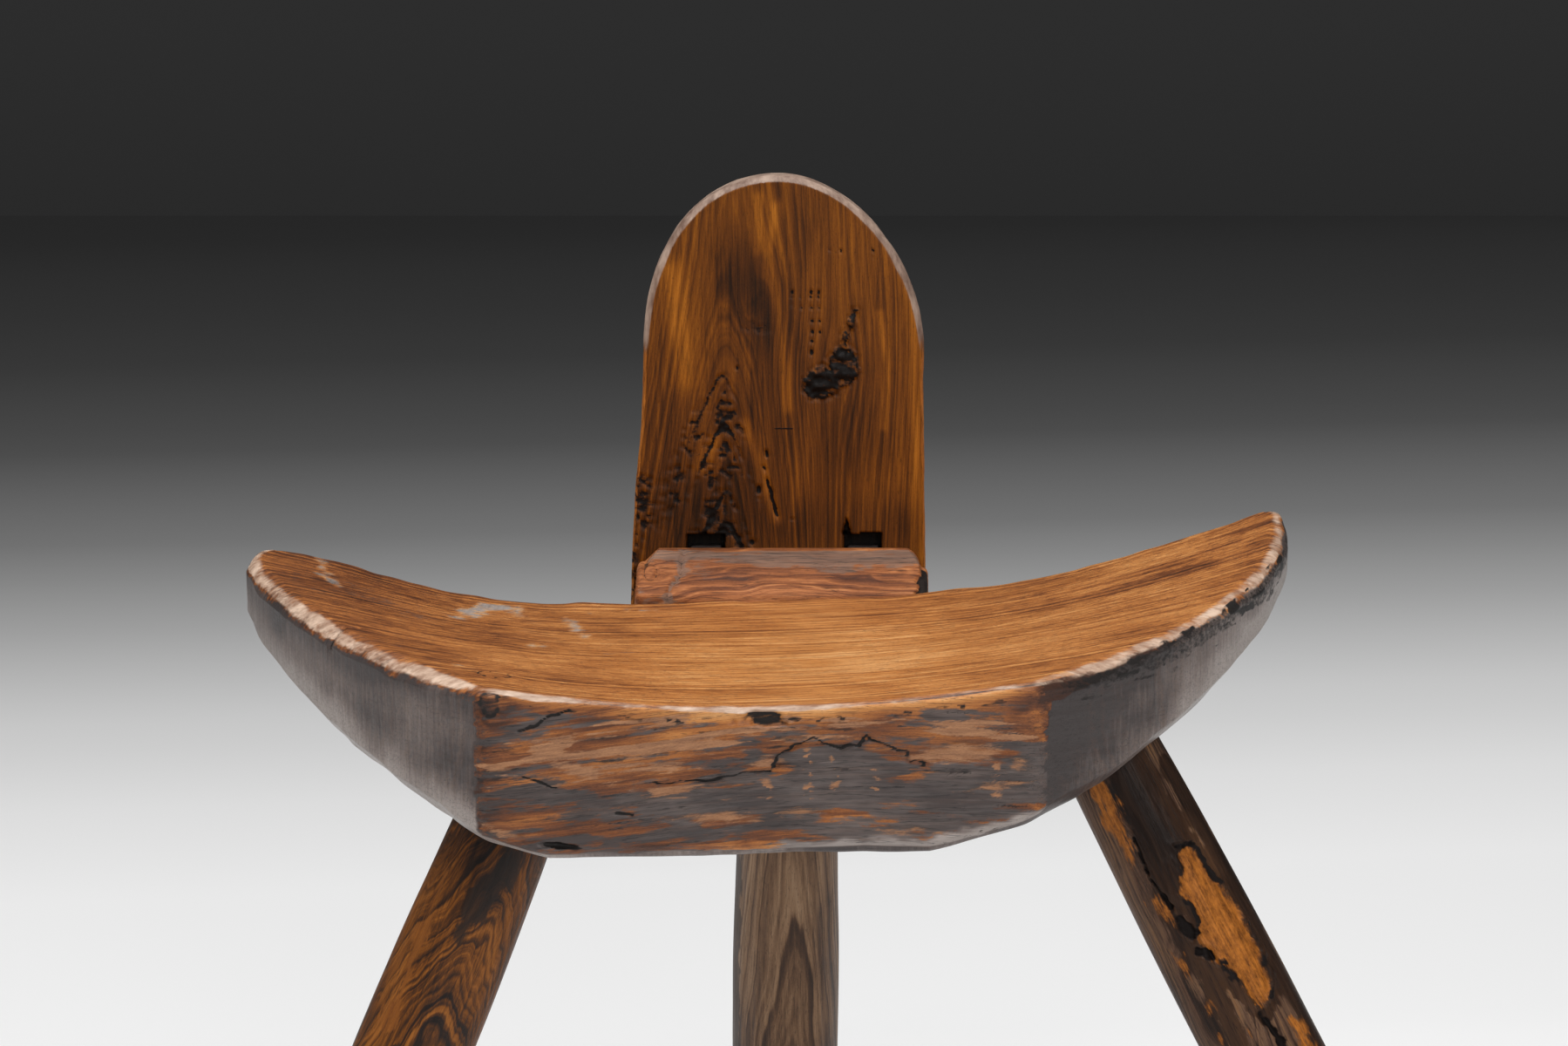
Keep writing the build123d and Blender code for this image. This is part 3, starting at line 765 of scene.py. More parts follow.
seat_scar = np.maximum.reduce([
    open_scar,
    on_facet * 0.46 * smooth(1.5, -0.5, facet_knot),
    0.55 * facet_front * spots * groove(below_rim - 6.5, 2.2),
    0.28 * bark + 0.46 * outer_right + 0.45 * hairs,
])
print("bare on", (seat_bare > 0.5).mean().round(3), "scarred on", (seat_scar > 0.5).mean().round(3))

# %% [markdown]
# ## The seat: lighter and darker wood
#
# The last fact is a tone, from dark to light, added to the wood and to its old skin. The middle
# of the top is the palest, because it is polished most. The facet is darker. The lower edges of
# the sides and of the facet are painted paler, as a painted reflection of the bright floor, and
# soft lighter patches on the sides and a pale patch on the right are painted sheen. A faint dark
# ring near the left end is where something hot once stood.

# %% Tone of the seat
worn_middle = smooth(1.6, 0.0, np.hypot((x - 20) / 90, (y - 95) / 70))
dark_right = smooth(-0.1, 0.5, layered(seat_skin, (60, 9, 20), 87, 3))
dark_right *= smooth(70, 170, x) * smooth(120, 190, y)
dark_left = smooth(90, 240, np.hypot(x, (y - 120) * 0.6)) * (x < 0)
hot_ring = groove(to_oval(x, y, (-112, 168), (34, 30), 30), 6) * (
    smooth(-0.2, 0.4, layered(seat_skin, (22, 12, 20), 89, 2)))
top_tone = 0.10 + 0.45 * worn_middle - 0.6 * dark_right - 0.55 * dark_left - 0.35 * hot_ring
top_tone += 1.1 * patch(grey_stain + 2.5, 1.5)
front_tone = -0.44 + 0.28 * facet_front * under_rim + 0.5 * groove(below_rim - 2, 3) - 0.7 * facet_end
# Paler along the facet's lower edge: a painted reflection of the bright floor.
front_tone += 1.7 * smooth(-60, 30, x) * smooth(9, 4, above_foot + 1.5 * rough_line)
# Paler along the lower edge of the sides, most towards the tips: a painted reflection of the bright floor.
floor_reflection_share = np.maximum(0.4, np.where(x > 0, smooth(150, 215, x), smooth(-40, -120, x)))
sheen = layered(np.stack([seat_along, z, 0 * x], -1), (34, 22, 1), 90, 2)
side_tone = 1.2 * smooth(24, 3, above_foot) * floor_reflection_share - 0.6 * smooth(26, 4, below_rim) - 0.15
# The sheen noise is painted sheen on the sides, stronger on the right, and the pale patch at the right end is
# painted sheen too.
side_tone += (0.35 + 0.4 * (x > 0)) * sheen - 0.8 * smooth(190, 140, x) * (x > 0)
side_tone += 1.1 * smooth(160, 215, x) * smooth(200, 120, y)
seat_tone = on_top * top_tone + facet_front * front_tone + (1 - on_top) * (1 - facet_front) * side_tone
seat_tone -= 0.7 * bark
print("tone from", seat_tone.min().round(2), "to", seat_tone.max().round(2))

# %% [markdown]
# ## The seat: its mesh
#
# Now the skin and its facts become one closed mesh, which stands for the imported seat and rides
# on the one body of the chair. The places in the log are divided by 1000, because the shader's
# noise counts in metres.

# %% The seat as a mesh
seat = closed_skin("seat_wood", seat_surface, {
    "log": np.stack([y, log_height, x], -1) / 1000,
    "hewn": hewn_place / 1000,
    "rings": seat_rings,
    "patina": seat_patina,
    "worn": seat_worn_and_highlight,
    "bare": seat_bare,
    "tone": seat_tone,
    "scar": seat_scar,
})
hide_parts("seat")
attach(seat, "root")

# %% [markdown]
# ## The backrest board
#
# One board, arched at the top and a little wider at its foot. Its outline is four cubic curves,
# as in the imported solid. The arris, the sharp corner between face and edge, has been rounded by
# use and by a spokeshave, nearly four millimetres wide round the arch and two down the sides. The
# face ends on a second outline, which lies inside the first by that width along its own normal.

# %% Outline of the board
board_lean = np.radians(4.0)
board_thickness, board_foot, board_top = 24.0, -67.0, 187.3
spring_level, flare_level = board_top - 88.0, 41.0
crown_x = -3.0
block_top = rear_low + 21.5
block_depth = 34.0


def bezier(a, b, c, d, count=160):
    """Cubic curve: (1-t)^3 of the first handle, 3t(1-t)^2, 3t^2(1-t) and t^3 of the others."""
    t = np.linspace(0, 1, count)[:, None]
    a, b, c, d = (np.asarray(p, float) for p in (a, b, c, d))
    return a * (1 - t) ** 3 + 3 * b * t * (1 - t) ** 2 + 3 * c * t**2 * (1 - t) + d * t**3


def board_edge(foot_x, spring_x, fullness):
    """One side of the outline: from the foot in to the spring of the arch, then over to the crown."""
    side = bezier((foot_x, board_foot), (foot_x, flare_level), (spring_x, flare_level),
                  (spring_x, spring_level))
    rise, run = board_top - spring_level, crown_x - spring_x
    over = bezier((spring_x, spring_level), (spring_x, spring_level + fullness * rise),
                  (crown_x - fullness * run, board_top), (crown_x, board_top))
    return np.concatenate([side, over[1:]])


def lean_back(across, level, depth):
    """Board coordinates to the chair's: turned back by the lean about the block's top edge."""
    c, s = np.cos(board_lean), np.sin(board_lean)
    front_y = seat_depth + block_depth + depth * c + level * s
    return np.stack([across, front_y, block_top - depth * s + level * c], -1)


levels = np.concatenate(
    [
        np.linspace(board_foot, 6.0, 62)[:-1],
        np.linspace(6.0, spring_level, 100)[:-1],
        spring_level + (board_top - spring_level) * np.sin(np.linspace(0, np.pi / 2, 118)),
    ]
)
outline = {}
for edge_side, handles in (("left", (-78.5, -71.5, 0.60)), ("right", (71.8, 70.5, 0.51))):
    line = board_edge(*handles)
    outline[edge_side] = np.stack([np.interp(levels, line[:, 1], line[:, 0]), levels], -1)
print("board", outline["left"][0], outline["right"][0], "rows", len(levels))

# %% [markdown]
# ## The board: rows round its edge
#
# The rows of the front face follow the outline above, but beside the two slots they stand
# upright, so that a row runs along each side of a slot and its corner can be sharp. The rear
# face has fewer rows, because it carries no marks.

# %% The worn arris and the lines up the face
slot_half, slot_at = 10.0, 39.75
slot_edges = [-slot_at - slot_half, -slot_at + slot_half, slot_at - slot_half, slot_at + slot_half]
arris_wear = 2.0 + 1.8 * smooth(60, 150, levels)
arris_wear *= 1 + 0.25 * layered(one_line(levels), 26.0, 5, 2) * (1 - smooth(150, 180, levels))
rows_left, rows_width = -76.0, 148.0  # between the board's sides, where the slots' rows begin to spread


def face_outline(edge_side, sign):
    """The outline moved inwards along its normal by the width of the worn arris."""
    line = outline[edge_side]
    tangent = np.gradient(line, axis=0)
    normal = sign * np.stack([tangent[:, 1], -tangent[:, 0]], -1)
    normal /= np.linalg.norm(normal, axis=-1, keepdims=True)
    normal[-1] = (0, -1)
    return line + normal * arris_wear[:, None], normal


left_face, left_normal = face_outline("left", 1)
right_face, right_normal = face_outline("right", -1)


def face_rows(counts):
    """Lines up the face: straight beside the slots, spreading with the width of the board above."""
    straight = 1 - smooth(20, 90, levels)
    lines = [left_face[:, 0]]
    for place_x in slot_edges:
        spread = left_face[:, 0] + (right_face[:, 0] - left_face[:, 0]) * (place_x - rows_left) / rows_width
        lines.append(straight * place_x + (1 - straight) * spread)
    lines.append(right_face[:, 0])
    bands = [a + (b - a) * (np.arange(count) / count)[:, None]
             for a, b, count in zip(lines[:-1], lines[1:], counts)]
    across = np.concatenate([*bands, lines[-1][None]])
    share = (across - lines[0]) / np.maximum(lines[-1] - lines[0], 1e-9)
    return np.stack([across, left_face[:, 1] + (right_face[:, 1] - left_face[:, 1]) * share], -1)


print("arris worn by", arris_wear.min().round(1), "to", arris_wear.max().round(1), "mm")

# %% [markdown]
# ## The board: one ring for both faces and both edges
#
# The ring goes over the front face, round the right edge, back over the rear face and round the
# left edge. Each row keeps three things: its place in the board's outline, its depth below the
# front face, and how far it is turned to a face, which tells the worn corner from the flat.

# %% The ring of the board
def arris(line, face_line, turn_in):
    """Rows of a worn corner from the edge to the face: place, depth below the face, share turned to it."""
    share_in, share_down = corner_shares(5, 0.55)
    place_xy = line[None] + (face_line - line)[None] * share_in[..., None]
    return place_xy[::turn_in], (arris_wear * share_down)[::turn_in], (share_in + 0 * arris_wear)[::turn_in]


def edge_rows(line, count=12):
    """Rows across the thickness of an edge: their place and their depth."""
    share = np.linspace(0, 1, count)[:, None]
    depth = arris_wear + (board_thickness - 2 * arris_wear) * share
    return np.broadcast_to(line, (count, *line.shape)), depth


front_counts, rear_counts = (34, 24, 76, 24, 28), (13, 10, 27, 10, 11)
front, rear = face_rows(front_counts), face_rows(rear_counts)[::-1]
right_front, right_rear = (arris(outline["right"], right_face, turn) for turn in (-1, 1))
left_rear, left_front = (arris(outline["left"], left_face, turn) for turn in (-1, 1))
right_flat, left_flat = edge_rows(outline["right"]), edge_rows(outline["left"])
flat_depth = np.zeros(front.shape[:2]), np.full(rear.shape[:2], board_thickness)
board_xy = np.concatenate([front, right_front[0], right_flat[0], right_rear[0],
                           rear, left_rear[0], left_flat[0], left_front[0]])
board_depth = np.concatenate([
    flat_depth[0], right_front[1], right_flat[1], board_thickness - right_rear[1],
    flat_depth[1], board_thickness - left_rear[1], left_flat[1][::-1], left_front[1]])
turned = np.concatenate([1 + 0 * flat_depth[0], right_front[2], 0 * right_flat[1], right_rear[2],
                         1 + 0 * flat_depth[1], left_rear[2], 0 * left_flat[1], left_front[2]])
board_x, board_level = board_xy[..., 0], board_xy[..., 1]
faces_front = board_depth < board_thickness / 2
on_edge = 1 - turned
print("board grid", board_x.shape)

# %% [markdown]
# ## The board: knots, pits and torn grain
#
# The knot is where a branch grew through the board. It is harder than the wood round it, so it
# stands out rough and black, and the rings bend round it like water round a stone. The same
# formula draws that flow: the distance across the grain, less a share of it that falls off with
# the square of the distance from the knot. Low on the left the plane tore the grain, and left
# short ridges across it.

# %% The knots and the torn grain
board_points = np.stack([board_x, board_depth, board_level], -1)
fine = layered(board_points, (3.2, 3.2, 2.4), 23, 3)
knot_gap = np.minimum.reduce([
    to_oval(board_x, board_level, (18.4, 82.4), (10.0, 8.2), 25),
    to_oval(board_x, board_level, (29.9, 91.0), (7.8, 10.4), 8),
    to_line(board_x, board_level, [(29, 99), (31, 106), (35.5, 119)]) - 1.7,
]) + 1.8 * fine
faint_knot_gap = to_oval(board_x, board_level, (-14.5, 111), (9.5, 3.2), -8) + 1.0 * fine
arch_peaks = [(-31.6, 86, 11), (-30.5, 61, 15), (-29.5, 26.5, 15), (-29.0, 11, 13)]
arches = np.zeros(board_x.shape)
for peak_x, peak_level, arch_reach in arch_peaks:
    arch_level = peak_level - 2.4 * (np.sqrt((board_x - peak_x) ** 2 + 9) - 3)
    spread = groove(board_x - peak_x + 2, arch_reach)
    arches = np.maximum(arches, spread * groove(board_level - arch_level + 1.5 * fine, 2.2))
torn_left = smooth(-27, -40, board_x + 0.12 * (board_level - 40)) * smooth(84, 66, board_level)
torn_left = torn_left * smooth(-0.4, 0.5, ripple(board_points, (9, 9, 26), 47))
torn_arch = sum(
    smooth(top, top - 6, board_level + 2.2 * np.abs(board_x + 30)) * smooth(top - 34, top - 22, board_level)
    for top in (84, 60, 26))
tears = smooth(
    0.05, 0.5,
    ripple(board_points, (3.4, 3.4, 1.9), 43) + 0.5 * ripple(board_points, (10, 10, 16), 45)
    + 0.3 * ripple(board_points, (1.6, 1.6, 2.4), 44))
torn_wood = np.clip(np.maximum(torn_left, torn_arch), 0, 1)
torn = torn_wood * tears
print("torn grain on", (torn > 0.5).mean().round(3), "of the points")

# %% [markdown]
# ## The board: pits, a gash and a notch
#
# Beetles and small cracks have left rows of pits along the grain. A row is a groove along a
# line that wanders a little, broken into beads by a noise that changes quickly up the board. A
# gash runs down beside the torn grain, and the saw slipped over one corner of the right slot
# and left a narrow notch.

# %% Pits, gash and notch
pit_lines = [
    (4.2, 122, 129, 0.8), (8.5, 120, 127, 0.6), (13.6, 97, 129, 0.9), (17.4, 106, 129, 0.7),
    (-16.5, 1, 10.5, 1.8), (0.6, 6, 12, 1.1), (4.6, 4, 13, 1.0), (22.5, 150, 153, 0.8),
    (28, 148, 151, 0.6), (-24, 90, 96, 0.7), (-12.5, 24, 30, 1.2), (-9.5, 44, 50, 0.8), (44, 146, 152, 0.5),
]
pits = np.zeros(board_x.shape)
beads = ripple(board_points, (60, 60, 1.7), 33)
for pit_x, pit_low, pit_high, pit_width in pit_lines:
    reach = smooth(pit_low - 1.5, pit_low + 0.5, board_level)
    reach = reach * smooth(pit_high + 1.5, pit_high - 0.5, board_level)
    wander = pit_x + 0.9 * ripple(board_points, (90, 90, 9), 35)
    pits = np.maximum(pits, reach * groove(board_x - wander, pit_width) * smooth(-0.15, 0.35, beads))
gash = groove(to_line(board_x + 0.5 * fine, board_level, [(-10.5, 40), (-6, 24), (-1.5, 8)]), 0.9)
gash = gash * smooth(-0.5, 0.2, ripple(board_points, (50, 50, 4.5), 37))
pits = np.maximum(pits, gash)
notch_low, notch_high = 5.5, 13.5
notch_gap = np.abs(board_x - 31.6) - np.interp(board_level, [notch_low, notch_high], [2.3, 0.2])
notch = smooth(0.4, -0.4, notch_gap) * (board_level > notch_low) * (board_level < notch_high)
print("rows of pits", len(pit_lines))

# %% [markdown]
# ## The board: all marks as one height
#
# The knot stands out and has a moat round it, and everything else is cut in. The two faces get
# the long shallow waves of a plane, and the edge gets the shorter ones of a spokeshave. Near
# the crown all marks fade, because there the rows run together.

# %% Height of the marks
front_face = faces_front * turned
board_height = front_face * (
    smooth(1.0, -1.0, knot_gap) * (0.35 + 1.1 * layered(board_points, (4, 4, 3), 49, 3))
    - 1.1 * groove(knot_gap, 0.7)
    - smooth(0.8, -0.8, faint_knot_gap) * (0.25 + 0.4 * fine)
    - 1.6 * pits - 1.1 * arches * smooth(-0.3, 0.4, fine + 0.3) - 0.75 * torn
)
board_height += turned * 0.22 * layered(board_points, (34, 34, 90), 53, 2)
board_height += on_edge * 0.30 * layered(board_points, (12, 12, 14), 55, 3) - 0.3
board_height -= 4.0 * front_face * notch
board_height *= 1 - smooth(board_top - 4, board_top, board_level)
print("board marks from", board_height.min().round(2), "to", board_height.max().round(2), "mm")

# %% [markdown]
# ## The board: its slots and its places
#
# A skin that is one closed surface can't have a hole through it, so each slot is two pockets,
# one from the front and one from the rear, deep enough to hide in the dark behind the tenon and
# the wedge. The lower edge is rounded over. Then the board is leaned back about the top edge of
# the block.

# %% Slots and places
slot_room, slot_floor = 5.9, -22.2
ceiling = slot_room + 0.7 * ripple(board_points, (5, 5, 5), 57)
beside_slot = np.abs(np.abs(board_x) - slot_at)
in_slot = (beside_slot < slot_half - 0.1) & (board_level < ceiling) & (board_level > slot_floor)
in_slot = 1.0 * (in_slot & (turned > 0.99))
pocket = in_slot * np.where(faces_front, 8.7, 8.0)
foot_round = eased(board_level - board_foot, 1.8)
out_x = -np.where(board_x > 0, right_normal[:, 0], left_normal[:, 0])
out_level = -np.where(board_x > 0, right_normal[:, 1], left_normal[:, 1])
half_board = board_thickness / 2
marked_depth = board_depth + np.where(faces_front, -1, 1) * turned * (board_height - pocket)
marked_depth = marked_depth + (half_board - marked_depth) * foot_round / half_board
board_grid = cap(lean_back(
    (board_x + on_edge * out_x * board_height) * (1 - foot_round / 75),
    board_level + on_edge * out_level * board_height,
    marked_depth,
), 10)
print("board", np.ptp(board_grid[..., 2]).round(1), "mm high")

# %% [markdown]
# ## The board: rings, light bands and dark zones
#
# The board was sawn beside the heart of its tree, so its rings climb in steep arches, and each
# knot pushes them aside. Long light bands lie where the saw cut a pale ring at a flat angle.
# Smoke and wax have darkened the low corners and the place round the faint knot.

# %% Rings and tone of the board
def flow_round(x, level, centre, radius):
    """How far a ring is pushed aside by a knot: the distance across, times R^2 / (r^2 + R^2)."""
    dx, dv = x - centre[0], (level - centre[1]) / 1.9
    return dx * radius**2 / (dx**2 + dv**2 + radius**2)


cathedral = np.sqrt((board_x + 29) ** 2 + 36) + 0.145 * (board_level - 90) * (1 - smooth(-30, 30, board_x))
board_rings = cathedral + 1.1 * layered(board_points, (30, 30, 120), 61, 2)
board_rings -= flow_round(board_x, board_level, (25, 88), 13)
board_rings -= flow_round(board_x, board_level, (-14, 124), 11)
board_rings = board_rings + 0.35 * (board_depth - half_board)
light_bands = [
    ([(-4, 172), (-9, 146), (-3, 120), (-1, 96), (2, 70)], 2.6),
    ([(61, 146), (66, 110), (66.5, 70), (69, 28), (69, -5)], 2.8),
    ([(-13, 176), (-12, 150)], 3.0),
    ([(-20, 62), (-12, 40), (-4, 14)], 2.6),
    ([(-42, 40), (-36, 52)], 3.4),
    ([(-56, 140), (-50, 100), (-50, 84)], 5.0),
    ([(48, 118), (52, 92), (50, 60)], 1.6),
]
board_tone = 0.75 * np.maximum.reduce(
    [groove(to_line(board_x, board_level, line), 1.2 * width) for line, width in light_bands])
dark_zones = [
    ((-14, 66), (15, 42), -18, 0.42), ((-17, 128), (11, 19), 14, 0.84), ((30, 60), (16, 22), 0, 0.42),
    ((-34, 12), (30, 20), 0, 0.42), ((10, 168), (7, 14), 0, 0.42), ((-60, 30), (12, 40), 0, 0.42),
    ((45, 10), (40, 10), 0, 0.42),
]
for zone_centre, zone_radii, zone_turn, depth_of_tone in dark_zones:
    zone_gap = to_oval(board_x, board_level, zone_centre, zone_radii, zone_turn) / min(zone_radii)
    board_tone -= depth_of_tone * smooth(1.4, -0.8, zone_gap)
print("board tone from", board_tone.min().round(2), "to", board_tone.max().round(2))

# %% [markdown]
# ## The board: scars, the grey arch and its mesh
#
# Every pit and tear has filled with black wax, and so has the knot. Round the arch the arris is
# painted grey, partly dust and partly a painted sheen of the light from above, and down the sides
# it shows clean wood. The board's long grain runs up, so its own outline coordinates serve as its
# places in the log.

# %% Scars, wear and the board's mesh
# Inside the slot pockets, front and rear, the scar share paints the wood black: painted shade of the deep
# slots.
board_scar = faces_front * np.clip(
    smooth(0.8, -0.8, knot_gap) * (0.64 + 0.35 * fine)
    + 1.1 * pits + 0.62 * arches + 0.3 * torn + 0.30 * torn_wood
    + 0.5 * smooth(0.6, -0.6, faint_knot_gap) * smooth(-0.1, 0.3, fine)
    + 0.8 * in_slot + 0.9 * notch, 0, 1)
board_scar = np.maximum(board_scar, (1 - faces_front) * 0.8 * in_slot)
scratch = groove(board_level - 59.6, 0.5) * smooth(6, 4, np.abs(board_x + 0.3))
scratch = scratch + 0.6 * groove(board_level - 5.3, 0.35) * smooth(-4, 2, board_x)
board_scar = np.maximum(board_scar, 0.7 * scratch * front_face)
round_arch = smooth(92, 112, board_level)
rim_share = smooth(0.0, 0.35, on_edge)
board_dust_and_sheen = rim_share * round_arch
board_bare = rim_share * (1 - round_arch) * 0.62
board = closed_skin("board_wood", board_grid, {
    fact: cap(values, 10) for fact, values in {
        "log": board_points / 1000, "rings": board_rings, "tone": board_tone, "patina": 0.0 * board_x,
        "worn": board_dust_and_sheen, "bare": board_bare, "scar": board_scar}.items()})
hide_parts("backrest_board")
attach(board, "root")

# %% [markdown]
# ## The block behind the seat
#
# The block's outline, seen from its end, is an upright foot, a face that slopes back and a back
# that leans with the board. The ring follows that outline, and it is carried from the left end
# to the right one, where one corner is cut off and the other rounded. Both ends are eased over a
# few millimetres, as a plane leaves them.

# %% The ring of the block
block_left, block_right, block_base = -78.0, 76.0, rear_low - 46.0
block_stations, block_ring_rows = 190, 220
block_foot_y, block_back_y = seat_depth, seat_depth + block_depth
block_floor = rear_low - 42.0
cut_corner, round_corner, corner_inset = 8.0, 11.0, 4.0
block_mid_y, block_mid_z = seat_depth + 18.0, rear_low - 12.0


def roof(at):
    """Height of the block's top along its length: a cut corner on the left, a round one on the right."""
    cut = block_top - cut_corner + np.clip(at - (block_left + corner_inset), 0, cut_corner)
    bend = np.clip(at - (block_right - corner_inset - round_corner), 0, round_corner)
    return np.minimum(cut, block_top - round_corner + np.sqrt(np.maximum(round_corner**2 - bend**2, 0)))


length_share = np.linspace(0, 1, block_stations)
block_at = block_left + (block_right - block_left) * length_share
profile = np.array([
    (block_foot_y, block_floor + 1), (block_foot_y, rear_low + 3), (block_foot_y + 22, rear_low + 18),
    (block_back_y, block_top), (block_back_y - 3.8, block_floor), (block_foot_y, block_floor),
], float)
profile = rounded(profile, 3)
block_ring = walk(profile, np.linspace(0, length_along(profile)[-1], block_ring_rows + 1)[:-1])
block_y = np.broadcast_to(block_ring[:, :1], (block_ring_rows, block_stations))
block_z = np.minimum(block_ring[:, 1:], roof(block_at)[None])
flank = corner_inset * (block_z - block_base) / (block_top - block_base)
block_x = (block_left + flank) + (block_right - block_left - 2 * flank) * length_share
to_end = np.minimum(block_at - block_left, block_right - block_at)
end_round = eased(to_end, 3.5)
half_deep, half_high = 18.0, 34.0  # about as far as the faces lie from the block's middle
block_y = block_y + (block_mid_y - block_y) * end_round / half_deep
block_z = block_z + (block_mid_z - block_z) * end_round / half_high
block_points = cap(np.stack([block_x, block_y, block_z], -1), 14, 14)
print("block grid", block_points.shape)

# %% [markdown]
# ## The block: its marks
#
# The block is the roughest piece: a split runs down from its left corner, a small ring knot sits
# beside it, and the right end has broken away. The sloping face, which can be seen, gets its own
# shallow waves, and the faces that lie against the seat and the board get others.

# %% Marks on the block
bx, by, bz = (block_points[..., k] for k in range(3))
block_fine = layered(block_points, (6, 5, 3), 91, 3)
block_front = smooth(282, 276, by) * smooth(360, 366, bz)
split_path = [(-50, 394), (-52, 384), (-58, 376), (-58, 366)]
split = to_line(bx + 1.6 * ripple(block_points, (4, 4, 3), 93), bz, split_path)
ring_knot = to_oval(bx, bz, (-67.4, 384.5), (3.4, 3.0))
broken = to_oval(bx, bz, (76, 373), (9, 13), 24) + 1.8 * block_fine
block_cut = block_front * (
    -1.4 * groove(split, 1.0) - 0.8 * groove(ring_knot, 0.7) - 2.0 * smooth(1.5, -1.0, broken)
    + 0.45 * layered(block_points, (26, 12, 5), 95, 3))
block_cut += 0.5 * (1 - block_front) * layered(block_points, (30, 20, 14), 97, 3)
outward = block_points - (0.0, block_mid_y, block_mid_z)
outward[..., 0] *= smooth(66, 78, np.abs(bx)) * 0.35
outward /= np.linalg.norm(outward, axis=-1, keepdims=True) + 1e-9
behind = smooth(279, 282, by)
block_skin = block_points + outward * (block_cut * (1 - behind))[..., None]
block_skin[:, [0, -1]] = block_skin[:, [0, -1]].mean(0, keepdims=True)
print("block marks from", block_cut.min().round(2), "to", block_cut.max().round(2), "mm")

# %% [markdown]
# ## The block: its facts and its mesh
#
# The block's grain runs from side to side, so its rings show as long flat arches on the sloping
# face. Dust and old wax lie there too, most along the top, where no hand wipes them away.

# %% Facts of the block
block_rings = np.hypot(0.16 * bx - 6, bz - 352) + 0.30 * (by - 260)
block_rings += 4.5 * layered(block_points, (40, 12, 9), 99, 3) - flow_round(bz, bx, (384.5, -67), 4)
dust = 0.48 * smooth(382, 391, bz) + 0.44 * smooth(-0.2, 0.8, layered(block_points, (26, 9, 6), 101, 4))
dust += 0.62 * groove(split + 0.6 * block_fine, 2.2)
dusty_spots = [((-44, 383), (9, 2.6)), ((-64, 371), (12, 3.0)), ((-6, 372.5), (16, 2.2)),
               ((40, 389), (30, 3))]
for dust_centre, dust_radii in dusty_spots:
    dust += 0.4 * smooth(2.5, -2.5, to_oval(bx, bz, dust_centre, dust_radii) + 2.5 * block_fine)
dust *= block_front
block_scar = 0.42 * groove(split, 0.8) + smooth(0.8, -0.8, broken) + 0.5 * groove(ring_knot, 0.7)
no_wear = np.zeros(bx.shape)
block = closed_skin("block_wood", block_skin, {
    "log": np.stack([by, bz, bx], -1) / 1000, "rings": block_rings,
    "tone": 0.35 * layered(block_points, (40, 30, 10), 103, 2), "patina": np.clip(dust, 0, 1),
    "worn": no_wear, "bare": no_wear, "scar": block_front * np.clip(block_scar, 0, 1)})
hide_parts("back_block")
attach(block, "root")

# %% [markdown]
# ## The two tenons
#
# Two tenons grow out of the block's back and go through the board. A real tenon is cut from the
# same wood as its block. Here each is a small rounded bar of its own, because it starts out of
# sight, inside its mortise, and a bar is far simpler than a ring with two arms.

# %% Tenons
tenon_half, tenon_high, tenon_start, tenon_straight, tenon_round = 8.0, 22.0, 1.0, 31.0, 2.0
tenon_fit = 0.96  # the skin's share of the tenon's width, so that it stays inside the mortise
tenon_path = [(tenon_half, 0), (tenon_half, -tenon_high), (-tenon_half, -tenon_high), (-tenon_half, 0),
              (tenon_half, 0)]
tenon_path = rounded(np.array(tenon_path, float), 1)
tenon_ring = walk(tenon_path, np.linspace(0, length_along(tenon_path)[-1], 73)[:-1])
ease = np.sin(np.linspace(0, np.pi / 2, 8))[1:]
straight = np.linspace(tenon_start, tenon_straight, 36)
tenon_depth = np.concatenate([straight, tenon_straight + tenon_round * ease])
into_round = np.clip((tenon_depth - tenon_straight) / tenon_round, 0, 1)
tenon_inset = 1.6 * (1 - np.cos(into_round * np.pi / 2))
shrink_x, shrink_z = 1 - tenon_inset / tenon_half, 1 - tenon_inset / (tenon_high / 2)
bar_x = tenon_ring[:, :1] * shrink_x
bar_v = -tenon_high / 2 + (tenon_ring[:, 1:] + tenon_high / 2) * shrink_z
bar_depth = tenon_depth + 0 * bar_x
chatter = 0.25 * ripple(np.stack([bar_x, bar_v, bar_depth], -1), (3, 3, 9), 111) / (tenon_high / 2)
bar_v = bar_v + tenon_high / 2
bar_x, bar_v = bar_x + chatter * bar_x, bar_v + chatter * bar_v
tenon_log = cap(np.stack([bar_x, bar_v, bar_depth], -1), 6, 8)
tenon_zero = np.zeros(tenon_log.shape[:2])
# The scar share paints the tenon's front end black, where it shows in the board's front pocket: painted shade
# of the slot.
tenon_facts = {
    "log": tenon_log / 1000, "rings": np.hypot(tenon_log[..., 0] - 14, tenon_log[..., 1] + 20),
    "tone": tenon_zero, "patina": 0.35 + tenon_zero, "worn": tenon_zero, "bare": tenon_zero,
    "scar": smooth(18, 12, tenon_log[..., 2])}
for tenon_side, tenon_at in (("left", -slot_at), ("right", slot_at)):
    tenon_points = lean_back(tenon_at + tenon_fit * bar_x, tenon_fit * bar_v - tenon_high / 2, bar_depth)
    tenon = closed_skin(f"tenon_{tenon_side}", cap(tenon_points, 6, 8), tenon_facts)
    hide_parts("back_block")
    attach(tenon, "root")

# %% [markdown]
# ## The three legs
#
# Each leg is a round pole with a slight belly, whittled from a branch. Its ring is carried down an
# axis that leans out under the seat, from a little inside the seat to the floor, where the sole is
# cut level. Marks are placed by how far down the leg they are, and by the angle round it, where
# 90 degrees faces the front.

# %% Rings of the legs
leg_places = {  # where the axis meets the underside, x and y, and its two leans in degrees
    "front_left_leg": (-129.2, 76.3, -22.8, -11.3),
    "front_right_leg": (168.6, 72.8, 27.8, -11.3),
    "rear_leg": (2.0, 187.4, -0.6, 21.8),
}
leg_rows, leg_columns = 216, 330
leg_top, leg_belly, leg_foot, belly_at = 24.0, 27.5, 23.1, 0.45  # radii, and how far down the belly is
hidden_start, sole_wear = -16.0, 2.5


